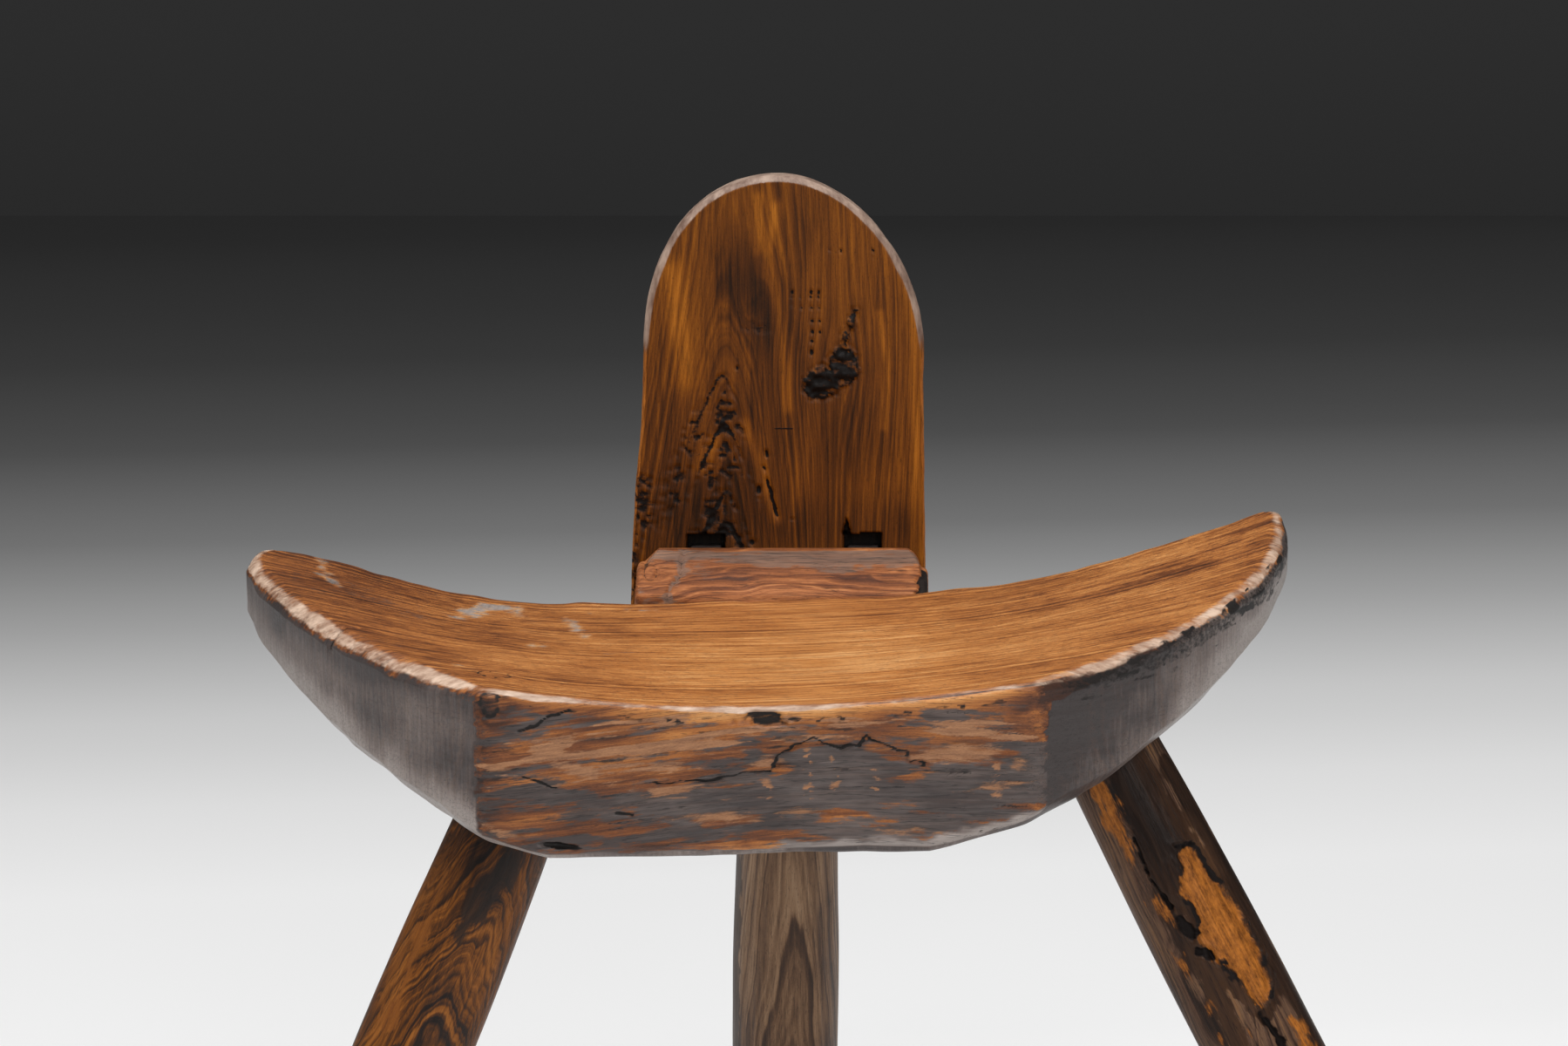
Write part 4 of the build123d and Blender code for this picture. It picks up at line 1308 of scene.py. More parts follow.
def leg_frame(at_x, at_y, lean_x, lean_y):
    """Where the axis enters the underside, and three directions: down the leg, to its side, to its front."""
    slope_x, slope_y = np.tan(np.radians(lean_x)), np.tan(np.radians(lean_y))
    down = np.array([slope_x, slope_y, -1.0]) / np.sqrt(1 + slope_x**2 + slope_y**2)
    level = under_level
    for _ in range(20):
        entry_x = at_x - slope_x * (level - under_level)
        level = float(underside(entry_x))
    entry = np.array([entry_x, at_y - slope_y * (level - under_level), level])
    side = np.cross((0.0, 1.0, 0.0), -down)
    side /= np.linalg.norm(side)
    return entry, down, side, np.cross(side, -down)


def leg_grid(entry, down, side, front):
    """Rings of a pole: angle round it, depth down it, and a radius on an arc through top, belly and foot."""
    angle = np.linspace(0, 2 * np.pi, leg_rows, endpoint=False)[:, None]
    spoke = np.cos(angle)[..., None] * side + np.sin(angle)[..., None] * front
    fall = entry[2] / -down[2]
    belly = arc((0, leg_top), (belly_at * fall, leg_belly), (fall, leg_foot), 80)
    sole = (entry[2] + leg_foot * spoke[..., 2]) / -down[2]
    depth = hidden_start + (sole - hidden_start) * np.linspace(0, 1, leg_columns)
    radius = np.interp(depth, belly[:, 0], belly[:, 1]) - eased(sole - depth, sole_wear)
    return angle, spoke, depth, radius


for leg_name, leg_place in leg_places.items():
    print(leg_name, "enters at", leg_frame(*leg_place)[0].round(1))

# %% [markdown]
# ## Strokes on a leg
#
# A stain or a hole on a round leg is drawn as on paper wrapped round it: a broken line of angles
# and depths, with a half-width at each of its points. The distance outside such a stroke, made
# ragged by noise, gives a patch with any edge that is wanted.

# %% Strokes
unrolled_radius = 25.5


def stroke(across, depth, line, width):
    """Distance outside a stroke of the given half-widths, drawn through points of angle and depth."""
    points = [((90 - degrees) * np.pi / 180 * unrolled_radius, down_leg) for degrees, down_leg in line]
    gap = np.full(across.shape, 1e3)
    for (a, b), (wide_a, wide_b) in zip(zip(points[:-1], points[1:]), zip(width[:-1], width[1:])):
        dx, dy = b[0] - a[0], b[1] - a[1]
        t = np.clip(((across - a[0]) * dx + (depth - a[1]) * dy) / (dx * dx + dy * dy), 0, 1)
        away = np.hypot(across - a[0] - t * dx, depth - a[1] - t * dy)
        gap = np.minimum(gap, away - wide_a - (wide_b - wide_a) * t)
    return gap


def nearest_stroke(across, depth, *strokes):
    """Distance outside the nearest of several strokes, each given by its line and its half-widths."""
    return np.minimum.reduce([stroke(across, depth, line, width) for line, width in strokes])


across_line, depth_line = np.array([0.0, 40.0]), np.array([50.0, 50.0])
print("outside a stroke", stroke(across_line, depth_line, [(90, 0), (90, 100)], (3, 3)))

# %% [markdown]
# ## The left leg: a flame figure
#
# This branch grew twisted, so its rings slant and wave, and a flame stands up its front. Black
# stains lie near the top. A dark band round the top, just under the seat, is a painted shadow
# where leg and seat meet, and the top of the leg is painted darker as shade under the seat.

# %% Flame figure
def flame_figure(across, depth, rough):
    """Left leg: slanting wavy rings, black stains near the top, a painted shadow band just under the seat and
    painted shade at the top.
    """
    flat = np.stack([across, depth, 0 * depth], -1)
    wave = 5.0 * ripple(flat, (12, 26, 1), 301) + 1.6 * ripple(flat, (4, 9, 1), 305)
    rings = 0.5 * depth - 1.1 * np.hypot(across - 9, 4) + wave
    stains = nearest_stroke(
        across, depth,
        ([(97, 44), (90, 64)], (4.5, 3.0)),
        ([(60, 6), (76, 34), (84, 48)], (6.0, 4.5, 2.0)),
        # A painted shadow band round the top, where the leg meets the seat.
        ([(150, -12), (100, -2), (70, 4), (30, 0)], (7, 9, 10, 9)),
        ([(100, 92), (92, 104)], (2.4, 1.6)),
        ([(112, 124), (96, 136)], (2.6, 1.4)),
    ) + 5.0 * rough + 3.0 * ripple(flat, (5, 22, 1), 303)
    bright_line = [(146, 20), (132, 60), (128, 150), (128, 300)]
    bright = stroke(across, depth, bright_line, (3, 4, 5, 5)) + 6 * rough
    # Painted shade: darker over the top 60 millimetres, under the seat.
    shade = 0.1 - 0.5 * smooth(60, 0, depth)
    return {"rings": rings, "stain": stains, "bright": bright, "shade": shade}


print("flame figure gives", list(flame_figure(across_line, depth_line, 0.0)))

# %% [markdown]
# ## The right leg: stripped bark
#
# This one has lost a long flake of bark, which left a bright patch with a ragged, raised rim.
# Two knot holes and a few pits lie beside it, and a dark smooth band runs down past them.

# %% Stripped bark
def stripped_bark(across, depth, rough):
    """Right leg: a stripped patch with a raised rim, knot holes, a dark smooth band and an orange flame."""
    flat = np.stack([across, depth, 0 * depth], -1)
    wave = 2.5 * ripple(flat, (14, 60, 1), 311)
    rings = across * 0.9 + 0.05 * depth + wave + 7.0 * groove(across + 23, 8) * smooth(-10, 60, depth)
    rings += 3.5 * ripple(flat, (8, 22, 1), 315)
    patch_line = [(62, 60), (66, 75), (66, 94), (60, 114), (58, 130)]
    patch_gap = stroke(across, depth, patch_line, (5, 9, 10.5, 9.5, 4.5))
    patch_gap = patch_gap + 4.0 * rough + 1.2 * ripple(flat, (2.2, 2.2, 1), 313)
    holes = nearest_stroke(
        across, depth,
        ([(101, 84), (99, 90)], (3.0, 3.4)),
        ([(99, 100), (93, 103)], (1.6, 2.2)),
        ([(74, 140), (66, 156)], (1.2, 1.6)),
        ([(108, 40), (112, 58), (106, 76)], (0.0, 0.5, 0.2)),
        ([(70, 52), (48, 55)], (0.7, 0.9)),
    ) + 1.2 * rough + 1.3 * ripple(flat, (2.4, 2.8, 1), 317)
    dark_band = [(84, -6), (82, 30), (96, 62), (108, 84), (104, 118), (106, 160), (100, 230)]
    stains = nearest_stroke(
        across, depth,
        (dark_band, (9, 8, 7, 6, 6, 5, 4)),
        ([(70, 4), (66, 46)], (8, 9)),
        ([(24, 20), (22, 90), (24, 160)], (8, 7, 6)),
    )
    stains = np.minimum(stains, patch_gap - 9.0) + 2.5 * rough
    bright = nearest_stroke(
        across, depth,
        ([(116, -4), (122, 24), (130, 70)], (10.5, 8.5, 2.0)),
        ([(116, 70), (122, 150), (116, 220)], (0.8, 1.5, 1.0)),
        ([(40, 150), (48, 240)], (6, 6)),
        ([(92, 142), (84, 240)], (4, 6)),
    ) + 6.0 * rough
    return {"rings": rings, "stain": stains, "bright": bright, "patch": patch_gap, "holes": holes,
            "shade": -0.2 * smooth(-20, 10, across)}


print("stripped bark gives", list(stripped_bark(across_line, depth_line, 0.0)))

# %% [markdown]
# ## The rear leg: plain rings
#
# The rear leg was split from straight wood. Its rings open into one narrow arch near the top, as
# they do wherever a pole is whittled across them.

# %% Plain rings
def plain_rings(across, depth, rough):
    """Rear leg: rings that open into a narrow arch near the top."""
    wave = 2.2 * ripple(np.stack([across, depth, 0 * depth], -1), (12, 40, 1), 321)
    rings = np.hypot(across - 3, 5) * 1.1 - 0.10 * depth + wave
    stains = stroke(across, depth, [(170, 30), (168, 160), (160, 260)], (8, 7, 6)) + 4 * rough
    return {"rings": rings, "stain": stains, "shade": 0.0}


print("plain rings give", list(plain_rings(across_line, depth_line, 0.0)))

# %% [markdown]
# ## The legs: cuts and facts
#
# All three legs are whittled: slightly flat here and there, with shallow cuts along the fibres.
# The stripped patch lies deeper, its rim stands up, and the holes go in. Near the floor and
# inside the seat the cuts fade, so that the leg stands level and fits its socket.

# %% The three legs
leg_marks = {
    "front_left_leg": (200, flame_figure),
    "front_right_leg": (230, stripped_bark),
    "rear_leg": (260, plain_rings),
}
noise_radius = 26.0
for leg_name, leg_place in leg_places.items():
    seed, leg_figure = leg_marks[leg_name]
    entry, down, side, front_of_leg = leg_frame(*leg_place)
    angle, spoke, depth, radius = leg_grid(entry, down, side, front_of_leg)
    round_x, round_y = noise_radius * np.cos(angle), noise_radius * np.sin(angle)
    in_leg = np.stack([round_x + 0 * depth, round_y + 0 * depth, depth], -1)
    from_front = np.pi - (angle + np.pi / 2) % (2 * np.pi)
    across = from_front * unrolled_radius + 0 * depth
    rough = layered(in_leg, (9, 9, 14), seed, 5)
    nowhere = np.full(depth.shape, 1e3)
    figure = {"bright": nowhere, "patch": nowhere, "holes": nowhere, **leg_figure(across, depth, rough)}
    cuts = 0.55 * layered(in_leg, (18, 18, 80), seed + 3, 2)
    cuts += 0.16 * layered(in_leg, (2.4, 2.4, 40), seed + 5, 2)
    cuts -= 1.5 * smooth(0.8, -0.8, figure["patch"]) + 2.6 * smooth(0.8, -1.0, figure["holes"])
    cuts += (0.9 + 0.6 * rough) * groove(figure["patch"] - 1.6, 1.6)
    cuts += 0.4 * groove(figure["holes"] - 1.4, 1.0)
    crinkled = smooth(9, 5, figure["patch"]) * smooth(-1, 1, figure["patch"])
    cuts += 0.45 * crinkled * layered(in_leg, (4, 4, 7), seed + 11, 3)
    cuts += 0.35 * smooth(1.0, -1.0, figure["patch"]) * layered(in_leg, (3, 3, 14), seed + 7, 2)
    cuts = (cuts - 0.6) * smooth(0, 12, entry[2] + depth * down[2]) * smooth(-14, -4, depth)
    skin = entry + depth[..., None] * down + (radius + cuts)[..., None] * spoke
    skin[..., 2] = np.maximum(skin[..., 2], 0)
    scars = (0.50 + 0.9 * rough) * groove(figure["patch"] - 1.2, 1.8)
    scars = scars + 0.9 * smooth(1.2, -1.0, figure["holes"])
    facts = {
        "log": in_leg * (1, 1, -1) / 1000,
        "rings": figure["rings"],
        "tone": 0.45 * layered(in_leg, (20, 20, 60), seed + 9, 2) + figure["shade"],
        "patina": patch(figure["stain"], 3),
        "worn": 0.8 * smooth(7, 0, skin[..., 2]),
        "bare": np.maximum(patch(figure["patch"], 3.4), 0.66 * patch(figure["bright"], 5)),
        "scar": np.clip(scars, 0, 1),
    }
    facts = {fact: cap(values, 6, 12) for fact, values in facts.items()}
    leg = closed_skin(leg_name + "_wood", cap(skin, 6, 12), facts)
    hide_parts(leg_name)
    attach(leg, "root")

# %% [markdown]
# ## One recipe for old wood
#
# Wood is drawn in layers, as it grew and aged: rings, which are dark and hard at the end of each
# year; fibres, a thousand fine streaks along the grain; pores; then the dark skin that smoke and
# hands leave, the pale worn rims, the bare spots and the black scars. Each layer is a noise
# stretched along the fibres. An image of wood would be quicker, but it would slide and stretch
# over the corners, while these layers run through the piece as real grain does. First come a few
# helpers that add one node each.

# %% Nodes of the shader
def colour(red, green, blue):
    """Colour as seen on a screen, 0 to 255, to the light that a shader works with."""
    screen = np.array([red, green, blue]) / 255
    light = np.where(screen <= 0.04045, screen / 12.92, ((screen + 0.055) / 1.055) ** 2.4)
    return (*light.tolist(), 1.0)


def node(tree, kind, inputs, **settings):
    """Adds a node; each input is a link where it is given a socket, and a fixed value otherwise."""
    new = tree.nodes.new(kind)
    for setting, value in settings.items():
        setattr(new, setting, value)
    for name, value in inputs.items():
        if isinstance(value, bpy.types.NodeSocket):
            tree.links.new(value, new.inputs[name])
        else:
            new.inputs[name].default_value = value
    return new


def new_material(name):
    """A material with its node tree and its shader."""
    material = bpy.data.materials.new(name)
    material.use_nodes = True
    return material, material.node_tree, material.node_tree.nodes["Principled BSDF"]


def fact_of(tree, name, output="Fac"):
    """One of the facts stored on the mesh."""
    return node(tree, "ShaderNodeAttribute", {}, attribute_name=name).outputs[output]


def calc(tree, operation, *values, clamp=False):
    """One sum, product or power."""
    inputs = dict(enumerate(values))
    return node(tree, "ShaderNodeMath", inputs, operation=operation, use_clamp=clamp).outputs[0]


def over(tree, share, below, above):
    """One colour laid over another by a share."""
    return node(tree, "ShaderNodeMix", {0: share, 6: below, 7: above}, data_type="RGBA").outputs[2]


def ramp(tree, value, places, tones):
    """Screen colours at the given shares, blended between."""
    new = node(tree, "ShaderNodeValToRGB", {"Fac": value})
    points = new.color_ramp.elements
    while len(points) < len(tones):
        points.new(0.5)
    for point, position, tone in zip(points, places, tones):
        point.position, point.color = position, colour(*tone)
    return new.outputs["Color"]


print("screen grey 128 is light", round(colour(128, 128, 128)[0], 3))

# %% [markdown]
# ## Grain and ragged edges
#
# The next helpers add a few nodes each. A patch on old wood never ends in a clean line: it runs
# out along the grain. So every patch starts as a soft share, noise is added to it, and the sum
# is cut off sharply. A soft blend alone would look sprayed.

# %% Noise of the shader
def grain(tree, where, size_mm, detail=3.0, roughness=0.55):
    """Noise from 0 to 1 whose lumps have the given sizes across and along the fibres, in millimetres."""
    per_size = [1000.0 / size for size in size_mm]
    scaled = node(tree, "ShaderNodeVectorMath", {0: where, 1: per_size}, operation="MULTIPLY").outputs[0]
    inputs = {"Vector": scaled, "Scale": 1.0, "Detail": detail, "Roughness": roughness}
    return node(tree, "ShaderNodeTexNoise", inputs).outputs[0]


def between(tree, value, low, high, **settings):
    """Share of the way from low to high, kept within 0 and 1."""
    inputs = {"Value": value, "From Min": low, "From Max": high}
    return node(tree, "ShaderNodeMapRange", inputs, **settings).outputs[0]


def sway(tree, noise, amount, value):
    """A value moved up or down by noise: the noise less one half, times the amount, plus the value."""
    return calc(tree, "MULTIPLY_ADD", calc(tree, "SUBTRACT", noise, 0.5), amount, value)


def ragged(tree, fact, noise, amount, low, high):
    """A patch with a ragged edge: noise is added to its share, and the sum is cut off sharply."""
    lifted = sway(tree, noise, amount, fact_of(tree, fact))
    return between(tree, lifted, low, high, interpolation_type="SMOOTHSTEP")


def mixed(tree, first, first_share, second, second_share):
    """Two noises added in the given shares."""
    return calc(tree, "MULTIPLY_ADD", first, first_share, calc(tree, "MULTIPLY", second, second_share))


noise_grain = {  # size across, across and along the fibres in millimetres, detail and roughness
    "fibre": ((1.4, 1.4, 32), 5, 0.65),
    "streak": ((3.5, 3.5, 70), 4),
    "blotch": ((26, 26, 60), 4),
    "edge": ((1.8, 1.8, 11), 6, 0.72),
    "speck": ((0.35, 0.35, 1.4), 2),
    "hewn": ((2.0, 2.0, 22), 5, 0.65),
    "pore": ((0.45, 0.45, 3.2), 1),
    "mottle": ((7, 7, 16), 3),
    "scar": ((1.8, 1.8, 11), 5, 0.7),
    "bare": ((2.6, 2.6, 30), 5, 0.7),
    "hair": ((1.9, 1.9, 60), 3, 0.6),
}
print("noises of the wood", list(noise_grain))

# %% [markdown]
# ## Fresh wood
#
# The wood itself comes first. The ring that a point lies in, moved a little by the streaks,
# gives a noise of one dimension: years of unequal width. Fibres, streaks, blotches and specks
# are added to it, and the sum picks a colour from five tones. Pores and thin dark hairs, which
# lie where a noise crosses its middle value, come over that.

# %% Rings, pores and hairs
def fresh_wood(tree, noise, tones, ring_mm, ring_share, blotch_share, hairs):
    """Colour of the wood under its skin, and its ring, pores, hairs and tone, which other layers use."""
    ring_place = calc(tree, "DIVIDE", fact_of(tree, "rings"), ring_mm)
    ring_place = calc(tree, "MULTIPLY_ADD", noise["streak"], 1.1, ring_place)
    ring_inputs = {"W": ring_place, "Scale": 1.0, "Detail": 2.0, "Roughness": 0.6}
    ring = node(tree, "ShaderNodeTexNoise", ring_inputs, noise_dimensions="1D").outputs[0]
    value = sway(tree, ring, 1.6 * ring_share, 0.5)
    for name, share in (("fibre", 0.62), ("streak", 0.45), ("blotch", blotch_share), ("speck", 0.22)):
        value = sway(tree, noise[name], share, value)
    tone = fact_of(tree, "tone")
    value = calc(tree, "MULTIPLY_ADD", tone, 0.4, value, clamp=True)
    base = ramp(tree, value, (0.08, 0.3, 0.5, 0.7, 0.95), tones)
    pores = between(tree, noise["pore"], 0.36, 0.30)
    base = over(tree, calc(tree, "MULTIPLY", pores, 0.45), base, colour(*tones[0]))
    hair_gap = calc(tree, "ABSOLUTE", calc(tree, "SUBTRACT", noise["hair"], 0.5))
    hair = between(tree, hair_gap, 0.022, 0.004)
    hair = calc(tree, "MULTIPLY", hair, calc(tree, "MULTIPLY", noise["edge"], hairs * 1.6), clamp=True)
    return over(tree, hair, base, colour(*tones[0])), ring, pores, hair, tone

# %% [markdown]
# ## Skin, wear and scars
#
# Time laid one thing over another, and so does this function: the grey skin of smoke first, then
# bare spots where it sprang off, then the worn rims, and at last the black scars, because dirt
# fills a crack whatever lies round it. Each layer is laid where its fact on the mesh says.

# %% Old skin and what came after
def aged(tree, noise, base, hair, tone, skin, bare, worn, scar, cover):
    """Skin, bare, worn and scarred wood over the base, and the shares of the skin and the scars."""
    skin_share = ragged(tree, "patina", noise["edge"], 1.3, 0.36, 0.62)
    skin_light = mixed(tree, noise["blotch"], 0.5, noise["hewn"], 0.5)
    skin_light = calc(tree, "MULTIPLY_ADD", tone, 0.3, skin_light)
    skin_tone = ramp(tree, skin_light, (0.32, 0.55, 0.85), skin)
    base = over(tree, calc(tree, "MULTIPLY", skin_share, cover), base, skin_tone)
    skin_hair = calc(tree, "MULTIPLY", calc(tree, "MULTIPLY", hair, skin_share), 0.8)
    base = over(tree, skin_hair, base, colour(*scar))
    bare_share = ragged(tree, "bare", noise["edge"], 1.2, 0.4, 0.66)
    bare_light = mixed(tree, noise["fibre"], 0.35, noise["bare"], 0.45)
    bare_light = calc(tree, "MULTIPLY_ADD", noise["speck"], 0.2, bare_light)
    base = over(tree, bare_share, base, ramp(tree, bare_light, (0.38, 0.6), bare))
    worn_share = ragged(tree, "worn", noise["edge"], 0.9, 0.2, 0.85)
    worn_light = mixed(tree, noise["mottle"], 0.7, noise["edge"], 0.3)
    base = over(tree, worn_share, base, ramp(tree, worn_light, (0.36, 0.60), worn))
    scar_share = ragged(tree, "scar", noise["scar"], 0.8, 0.3, 0.6)
    return over(tree, scar_share, base, colour(*scar)), skin_share, scar_share

# %% [markdown]
# ## The whole finish
#
# The roughness and the fine relief follow the same noises as the colour, so a dark fibre is also
# a groove, a pore is a pit and old skin is dull. A thin coat stands for wax. Every piece gets
# this one recipe with tones and shares of its own.

# %% The wood finish
def old_wood(name, tones, skin, worn, bare, scar, ring_mm=3.2, ring_share=0.5, roughness=0.5, wax=0.0,
             bump=0.35, skin_rough=0.5, cover=0.85, skin_fact="log", shine=0.3, blotch_share=0.6,
             hairs=0.5, own_grain={}):
    """Fresh wood in five tones, aged by the mesh's facts, with roughness, relief and wax to match."""
    material, tree, shader = new_material(name)
    log, skin_place = fact_of(tree, "log", "Vector"), fact_of(tree, skin_fact, "Vector")
    noise = {}
    for noise_name, (size, *character) in noise_grain.items():
        where = skin_place if noise_name == "hewn" else log
        noise[noise_name] = grain(tree, where, own_grain.get(noise_name, size), *character)
    base, ring, pores, hair, tone = fresh_wood(tree, noise, tones, ring_mm, ring_share, blotch_share, hairs)
    base, skin_share, scar_share = aged(tree, noise, base, hair, tone, skin, bare, worn, scar, cover)
    tree.links.new(base, shader.inputs["Base Color"])
    rough = sway(tree, noise["fibre"], 0.25, sway(tree, noise["blotch"], 0.3, roughness))
    rough = calc(tree, "MULTIPLY_ADD", skin_share, skin_rough - roughness, rough)
    rough = calc(tree, "MULTIPLY_ADD", scar_share, 0.2, rough, clamp=True)
    tree.links.new(rough, shader.inputs["Roughness"])
    relief = mixed(tree, noise["fibre"], 0.5, ring, 0.5)
    for height, share in ((pores, -0.5), (noise["edge"], 0.45), (hair, -0.6)):
        relief = calc(tree, "MULTIPLY_ADD", height, share, relief)
    relief = calc(tree, "MULTIPLY_ADD", calc(tree, "MULTIPLY", noise["scar"], scar_share), 1.6, relief)
    dents = node(tree, "ShaderNodeBump", {"Strength": bump, "Distance": 0.0008, "Height": relief})
    tree.links.new(dents.outputs[0], shader.inputs["Normal"])
    shader.inputs["Coat Weight"].default_value = wax
    shader.inputs["Coat Roughness"].default_value = 0.22
    shader.inputs["Specular IOR Level"].default_value = shine
    print(name, "nodes", len(tree.nodes))
    return material


# %% [markdown]
# ## The finishes of the chair
#
# The five tones run from the dark end of a ring to its pale start. The seat is polished on top by
# sitting, the board is waxed, and the block and the legs are dry and dusty. One recipe with other
# colours for each piece keeps them one family, where six separate materials would drift apart.

# %% The finishes
finishes = {
    "seat_wood": old_wood(
        "seat_finish", [(62, 34, 20), (118, 66, 32), (170, 104, 50), (200, 134, 72), (224, 168, 108)],
        # The seat's palest worn tone also paints the highlight on its rounded rim.
        skin=((64, 58, 57), (106, 98, 95), (158, 151, 148)), worn=((142, 104, 80), (222, 193, 170)),
        bare=((114, 75, 52), (181, 129, 90)), scar=(22, 16, 13), ring_mm=3.4, ring_share=0.45,
        roughness=0.46, wax=0.10, skin_rough=0.42, cover=0.93, skin_fact="hewn",
        own_grain={"bare": (2.0, 2.0, 14)}, hairs=0.8),
    "board_wood": old_wood(
        "board_finish", [(36, 18, 3), (78, 40, 5), (110, 60, 9), (136, 78, 13), (172, 104, 26)],
        # The board's grey worn tones, laid round the arch, are partly dust and partly a painted sheen.
        skin=((28, 16, 10), (52, 30, 16), (70, 44, 26)), worn=((112, 88, 76), (172, 148, 132)),
        bare=((128, 70, 20), (184, 112, 42)), scar=(12, 6, 4), ring_mm=2.1, ring_share=0.42,
        roughness=0.42, wax=0.04, bump=0.3, shine=0.14, blotch_share=0.35,
        own_grain={"scar": (2.2, 2.2, 1.3)}, hairs=0.4),
    "block_wood": old_wood(
        "block_finish", [(54, 27, 14), (104, 56, 28), (144, 84, 44), (174, 108, 62), (200, 140, 92)],
        skin=((100, 84, 74), (134, 116, 104), (164, 150, 138)), worn=((150, 120, 100), (180, 150, 130)),
        bare=((140, 84, 48), (180, 120, 76)), scar=(30, 21, 17), ring_mm=1.9,
        roughness=0.6, skin_rough=0.7, cover=0.62, shine=0.25, hairs=0.8),
    "front_left_leg_wood": old_wood(
        "left_leg_finish", [(20, 12, 8), (46, 26, 13), (80, 45, 16), (118, 67, 18), (146, 88, 32)],
        skin=((22, 15, 12), (42, 29, 21), (64, 46, 34)), worn=((150, 120, 90), (180, 150, 120)),
        bare=((104, 57, 20), (142, 84, 28)), scar=(18, 12, 9), ring_mm=3.4, ring_share=1.0,
        roughness=0.45, wax=0.06, skin_rough=0.4, shine=0.22, blotch_share=0.8, hairs=0.8),
    "front_right_leg_wood": old_wood(
        "right_leg_finish", [(26, 18, 14), (56, 38, 28), (92, 67, 52), (114, 85, 63), (132, 92, 58)],
        skin=((26, 14, 8), (54, 33, 19), (104, 70, 46)), worn=((150, 120, 90), (180, 150, 120)),
        bare=((88, 47, 15), (188, 114, 44)), scar=(22, 15, 13), ring_mm=3.2, ring_share=0.9,
        roughness=0.45, wax=0.02, skin_rough=0.38, cover=0.88, shine=0.12, blotch_share=0.9,
        own_grain={"bare": (3.0, 3.0, 5.0), "scar": (1.6, 1.6, 3.2)}, hairs=0.9),
    "rear_leg_wood": old_wood(
        "rear_leg_finish", [(46, 32, 24), (84, 60, 44), (122, 92, 68), (148, 116, 88), (172, 140, 110)],
        skin=((44, 32, 26), (66, 50, 40), (84, 66, 54)), worn=((150, 120, 90), (180, 150, 120)),
        bare=((140, 84, 44), (180, 120, 66)), scar=(22, 16, 14), ring_mm=3.0, ring_share=0.95, shine=0.25),
}
finishes["tenon_left"] = finishes["tenon_right"] = finishes["block_wood"]
for piece_name, finish in finishes.items():
    bpy.data.objects[piece_name].data.materials.append(finish)

# %% [markdown]
# ## Wedges and pegs
#
# The wedges and pegs are left as the imported solids, because hardly anything of them shows. The
# wedges in the board's slots are painted nearly black, as painted shade of the slots. The grain
# runs along each of them, as a maker splits them, since a wedge with its grain across would
# break under the mallet.

# %% Wood of the small solids
def plain_wood(name, tones, along, across):
    """Wood of the small solids: rings and fibres by the object's own coordinates, turned along its length."""
    material, tree, shader = new_material(name)
    spot = node(tree, "ShaderNodeTexCoord", {}).outputs["Object"]
    fibre = grain(tree, spot, [0.7 if axis != along else 22 for axis in range(3)])
    streak = grain(tree, spot, [2.6 if axis != along else 40 for axis in range(3)], 4)
    split_spot = node(tree, "ShaderNodeSeparateXYZ", {0: spot}).outputs[across]
    ring_place = calc(tree, "MULTIPLY_ADD", split_spot, 420.0, calc(tree, "MULTIPLY", streak, 1.6))
    ring_inputs = {"W": ring_place, "Scale": 1.0, "Detail": 1.0}
    ring = node(tree, "ShaderNodeTexNoise", ring_inputs, noise_dimensions="1D").outputs[0]
    value = mixed(tree, ring, 0.6, fibre, 0.4)
    tree.links.new(ramp(tree, value, (0.3, 0.5, 0.7), tones), shader.inputs["Base Color"])
    rough = calc(tree, "MULTIPLY_ADD", streak, 0.3, 0.5)
    tree.links.new(rough, shader.inputs["Roughness"])
    shader.inputs["Specular IOR Level"].default_value = 0.12
    dents = node(tree, "ShaderNodeBump", {"Strength": 0.3, "Distance": 0.0006, "Height": fibre})
    tree.links.new(dents.outputs[0], shader.inputs["Normal"])
    return material


# Nearly black tones: painted shade of the slots that hold these wedges.
wedge_finish = plain_wood("wedge_finish", [(8, 6, 4), (16, 11, 7), (30, 20, 13)], along=1, across=0)
peg_finish = plain_wood("peg_finish", [(66, 42, 28), (110, 74, 48), (150, 108, 74)], along=1, across=2)
fox_finish = plain_wood("fox_wedge_finish", [(84, 56, 36), (136, 96, 62), (170, 128, 88)], along=2, across=0)
for node_name, finish in (
    ("board_wedge_left", wedge_finish), ("board_wedge_right", wedge_finish),
    ("block_peg_left", peg_finish), ("block_peg_right", peg_finish),
    ("front_left_leg_wedge", fox_finish), ("front_right_leg_wedge", fox_finish),
    ("rear_leg_wedge", fox_finish),
):
    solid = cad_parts[node_name]
    solid.data.materials.clear()
    solid.data.materials.append(finish)
print("small solids painted", len(wedge_finish.node_tree.nodes), "nodes in each finish")

# %% [markdown]
# ## The camera
#
# A long lens, two metres in front of the chair and half a metre above its seat, keeps the lines
# almost parallel. It looks down by about twelve degrees, so the hollow of the seat can be seen.

# %% Camera
camera_tilt = 11.841
camera_data = bpy.data.cameras.new("camera")
camera_data.lens = 112.262
camera_data.sensor_width = 36.0
camera = bpy.data.objects.new("camera", camera_data)
camera.location = place((-0.2, -2136.2, 912.6))
camera.rotation_euler = (np.radians(90 - camera_tilt), 0, 0)
bpy.context.scene.collection.objects.link(camera)
bpy.context.scene.camera = camera
print("camera looks down by", camera_tilt, "degrees from", tuple(round(part, 3) for part in camera.location))

# %% [markdown]
# ## Floor and wall
#
# A plain floor runs back to a plain wall, four metres behind the chair. Their grey comes from
# their own colour and from a glow that shows in the picture and in reflections, but lights
# nothing. Both are dark in the distance. Lamps alone could shade them in the same way, but those
# would light the chair unevenly as well.

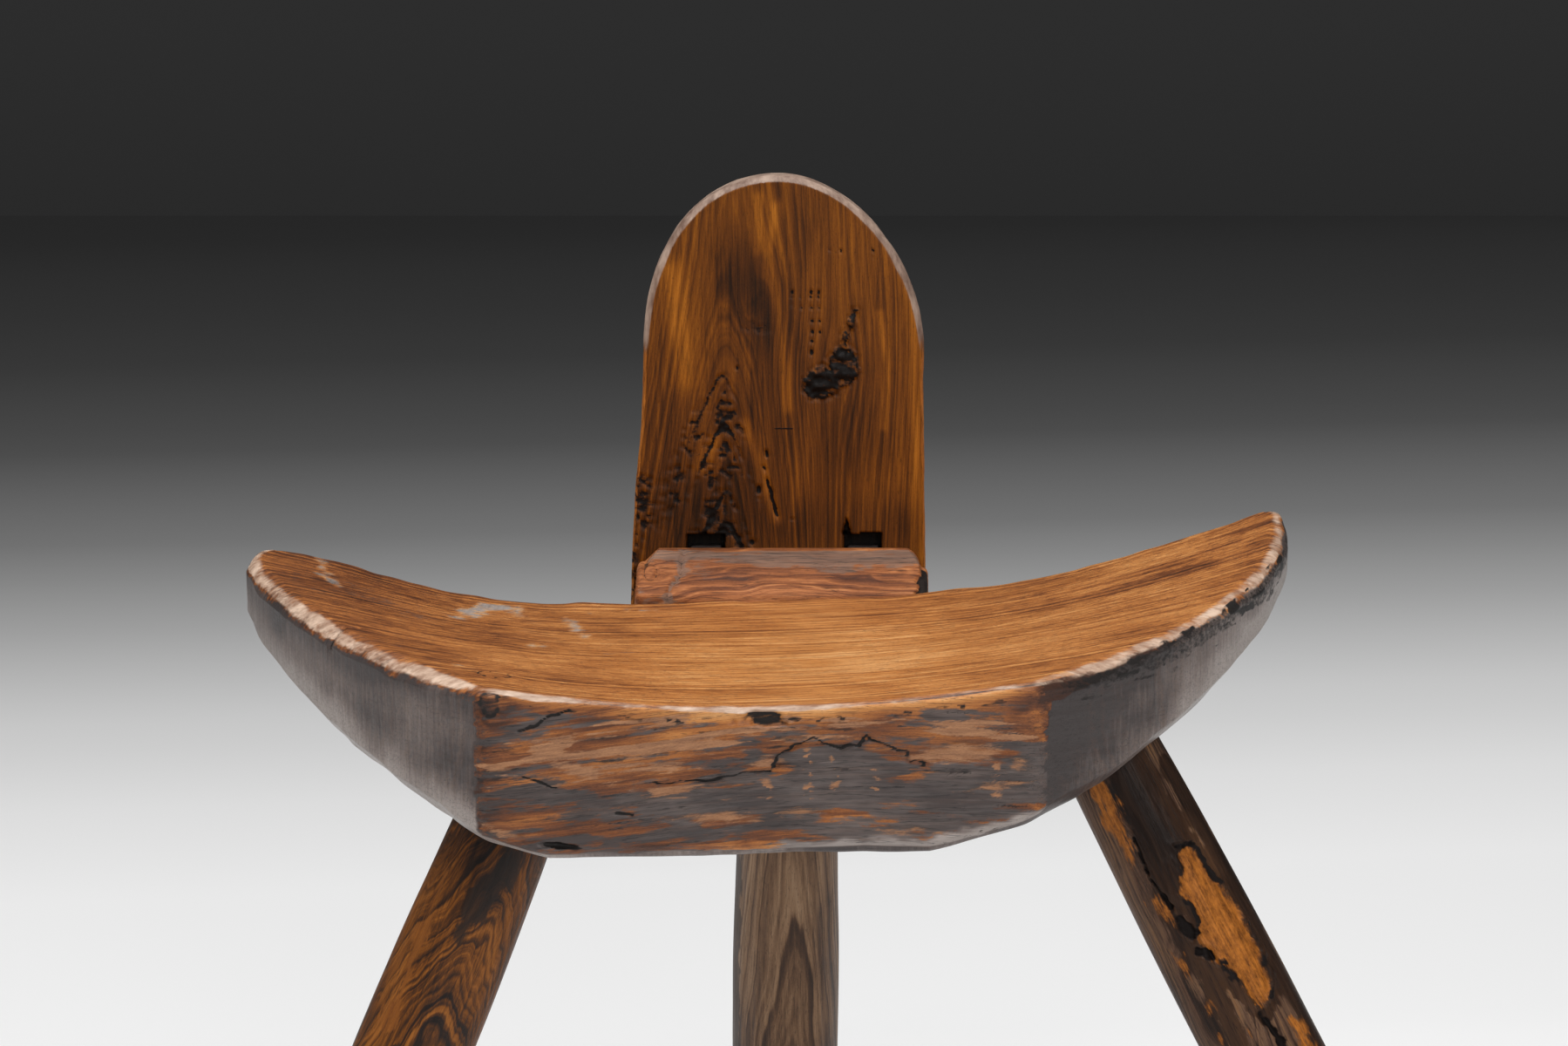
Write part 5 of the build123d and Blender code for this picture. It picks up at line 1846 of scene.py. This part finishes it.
# %% Floor and wall
sheet_half, floor_front, wall_at, wall_top = 6.0, -4.0, 4.0, 4.0
floor_slant = -0.13  # the floor's bands run a little askew


def greys(tree, share, stops):
    """Greys of the screen at the given shares, blended between."""
    places, levels = zip(*stops)
    return ramp(tree, share, places, [(level, level, level) for level in levels])


def flat_sheet(name, corners, axis, near, far, stops, glow):
    """A sheet of four corners, in metres, in greys from near to far; the camera sees it glow as well."""
    mesh = bpy.data.meshes.new(name)
    mesh.from_pydata(corners, [], [(0, 1, 2, 3)])
    sheet_object = bpy.data.objects.new(name, mesh)
    bpy.context.scene.collection.objects.link(sheet_object)
    material, tree, shader = new_material(name + "_paint")
    spot = node(tree, "ShaderNodeTexCoord", {}).outputs["Object"]
    parted = node(tree, "ShaderNodeSeparateXYZ", {0: spot}).outputs
    run = calc(tree, "MULTIPLY_ADD", parted["X"], floor_slant if axis == "Y" else 0.0, parted[axis])
    share = between(tree, run, near, far)
    tree.links.new(greys(tree, share, stops), shader.inputs["Base Color"])
    tree.links.new(greys(tree, share, glow), shader.inputs["Emission Color"])
    rays = node(tree, "ShaderNodeLightPath", {}).outputs
    seen = calc(tree, "MAXIMUM", rays["Is Camera Ray"], rays["Is Glossy Ray"])
    seen = calc(tree, "MAXIMUM", seen, rays["Is Transmission Ray"])
    tree.links.new(seen, shader.inputs["Emission Strength"])
    mesh.materials.append(material)
    shader.inputs["Roughness"].default_value = 0.95
    shader.inputs["Specular IOR Level"].default_value = 0.1


floor_paint = [(0.0, 232), (0.19, 230), (0.29, 208), (0.37, 176), (0.46, 138), (0.58, 98), (0.72, 68),
               (0.86, 52), (1.0, 42)]
floor_glow = [(0.0, 150), (0.307, 160), (0.38, 184), (0.426, 183), (0.478, 170), (0.54, 134), (0.61, 91),
              (0.696, 56), (0.796, 38), (0.922, 33), (0.976, 29), (1.0, 29)]
wall_paint, wall_glow = [(0.0, 42), (0.2, 45), (1.0, 48)], [(0.0, 32), (0.2, 34), (1.0, 36)]
wall_foot = [(-sheet_half, wall_at, 0), (sheet_half, wall_at, 0)]
front_corners = [(-sheet_half, floor_front, 0), (sheet_half, floor_front, 0)]
upper_corners = [(sheet_half, wall_at, wall_top), (-sheet_half, wall_at, wall_top)]
flat_sheet("floor", front_corners + wall_foot[::-1], "Y", -1.0, wall_at, floor_paint, floor_glow)
flat_sheet("wall", wall_foot + upper_corners, "Z", 0.0, 1.2, wall_paint, wall_glow)
print("floor and wall, each", 2 * sheet_half, "m wide")

# %% [markdown]
# ## Lamps
#
# Two large soft lamps, one above and one in front, and an even dim world light the chair. Their
# level is such that each colour looks about as it is written above. A smaller lamp would draw
# hard shadows that hide the grain.

# %% Lamps
def lamp(name, location, aim, size, power):
    """Square soft lamp at a place, turned to face another."""
    light = bpy.data.lights.new(name, "AREA")
    light.size = size
    light.energy = power
    holder = bpy.data.objects.new(name, light)
    holder.location = location
    holder.rotation_euler = (Vector(aim) - Vector(location)).to_track_quat("-Z", "Y").to_euler()
    bpy.context.scene.collection.objects.link(holder)


lamp("lamp_above", (-0.4, -0.3, 2.4), (0, 0, 0.3), 1.8, 45)
lamp("lamp_front", (0.8, -2.4, 1.6), (0, 0, 0.4), 1.4, 20)
world = bpy.data.worlds.new("studio")
world.use_nodes = True
world.node_tree.nodes["Background"].inputs["Color"].default_value = (1, 1, 1, 1)
world.node_tree.nodes["Background"].inputs["Strength"].default_value = 0.35
bpy.context.scene.world = world
bpy.context.scene.view_settings.view_transform = "Standard"
print("lamps", [light.name for light in bpy.data.lights])
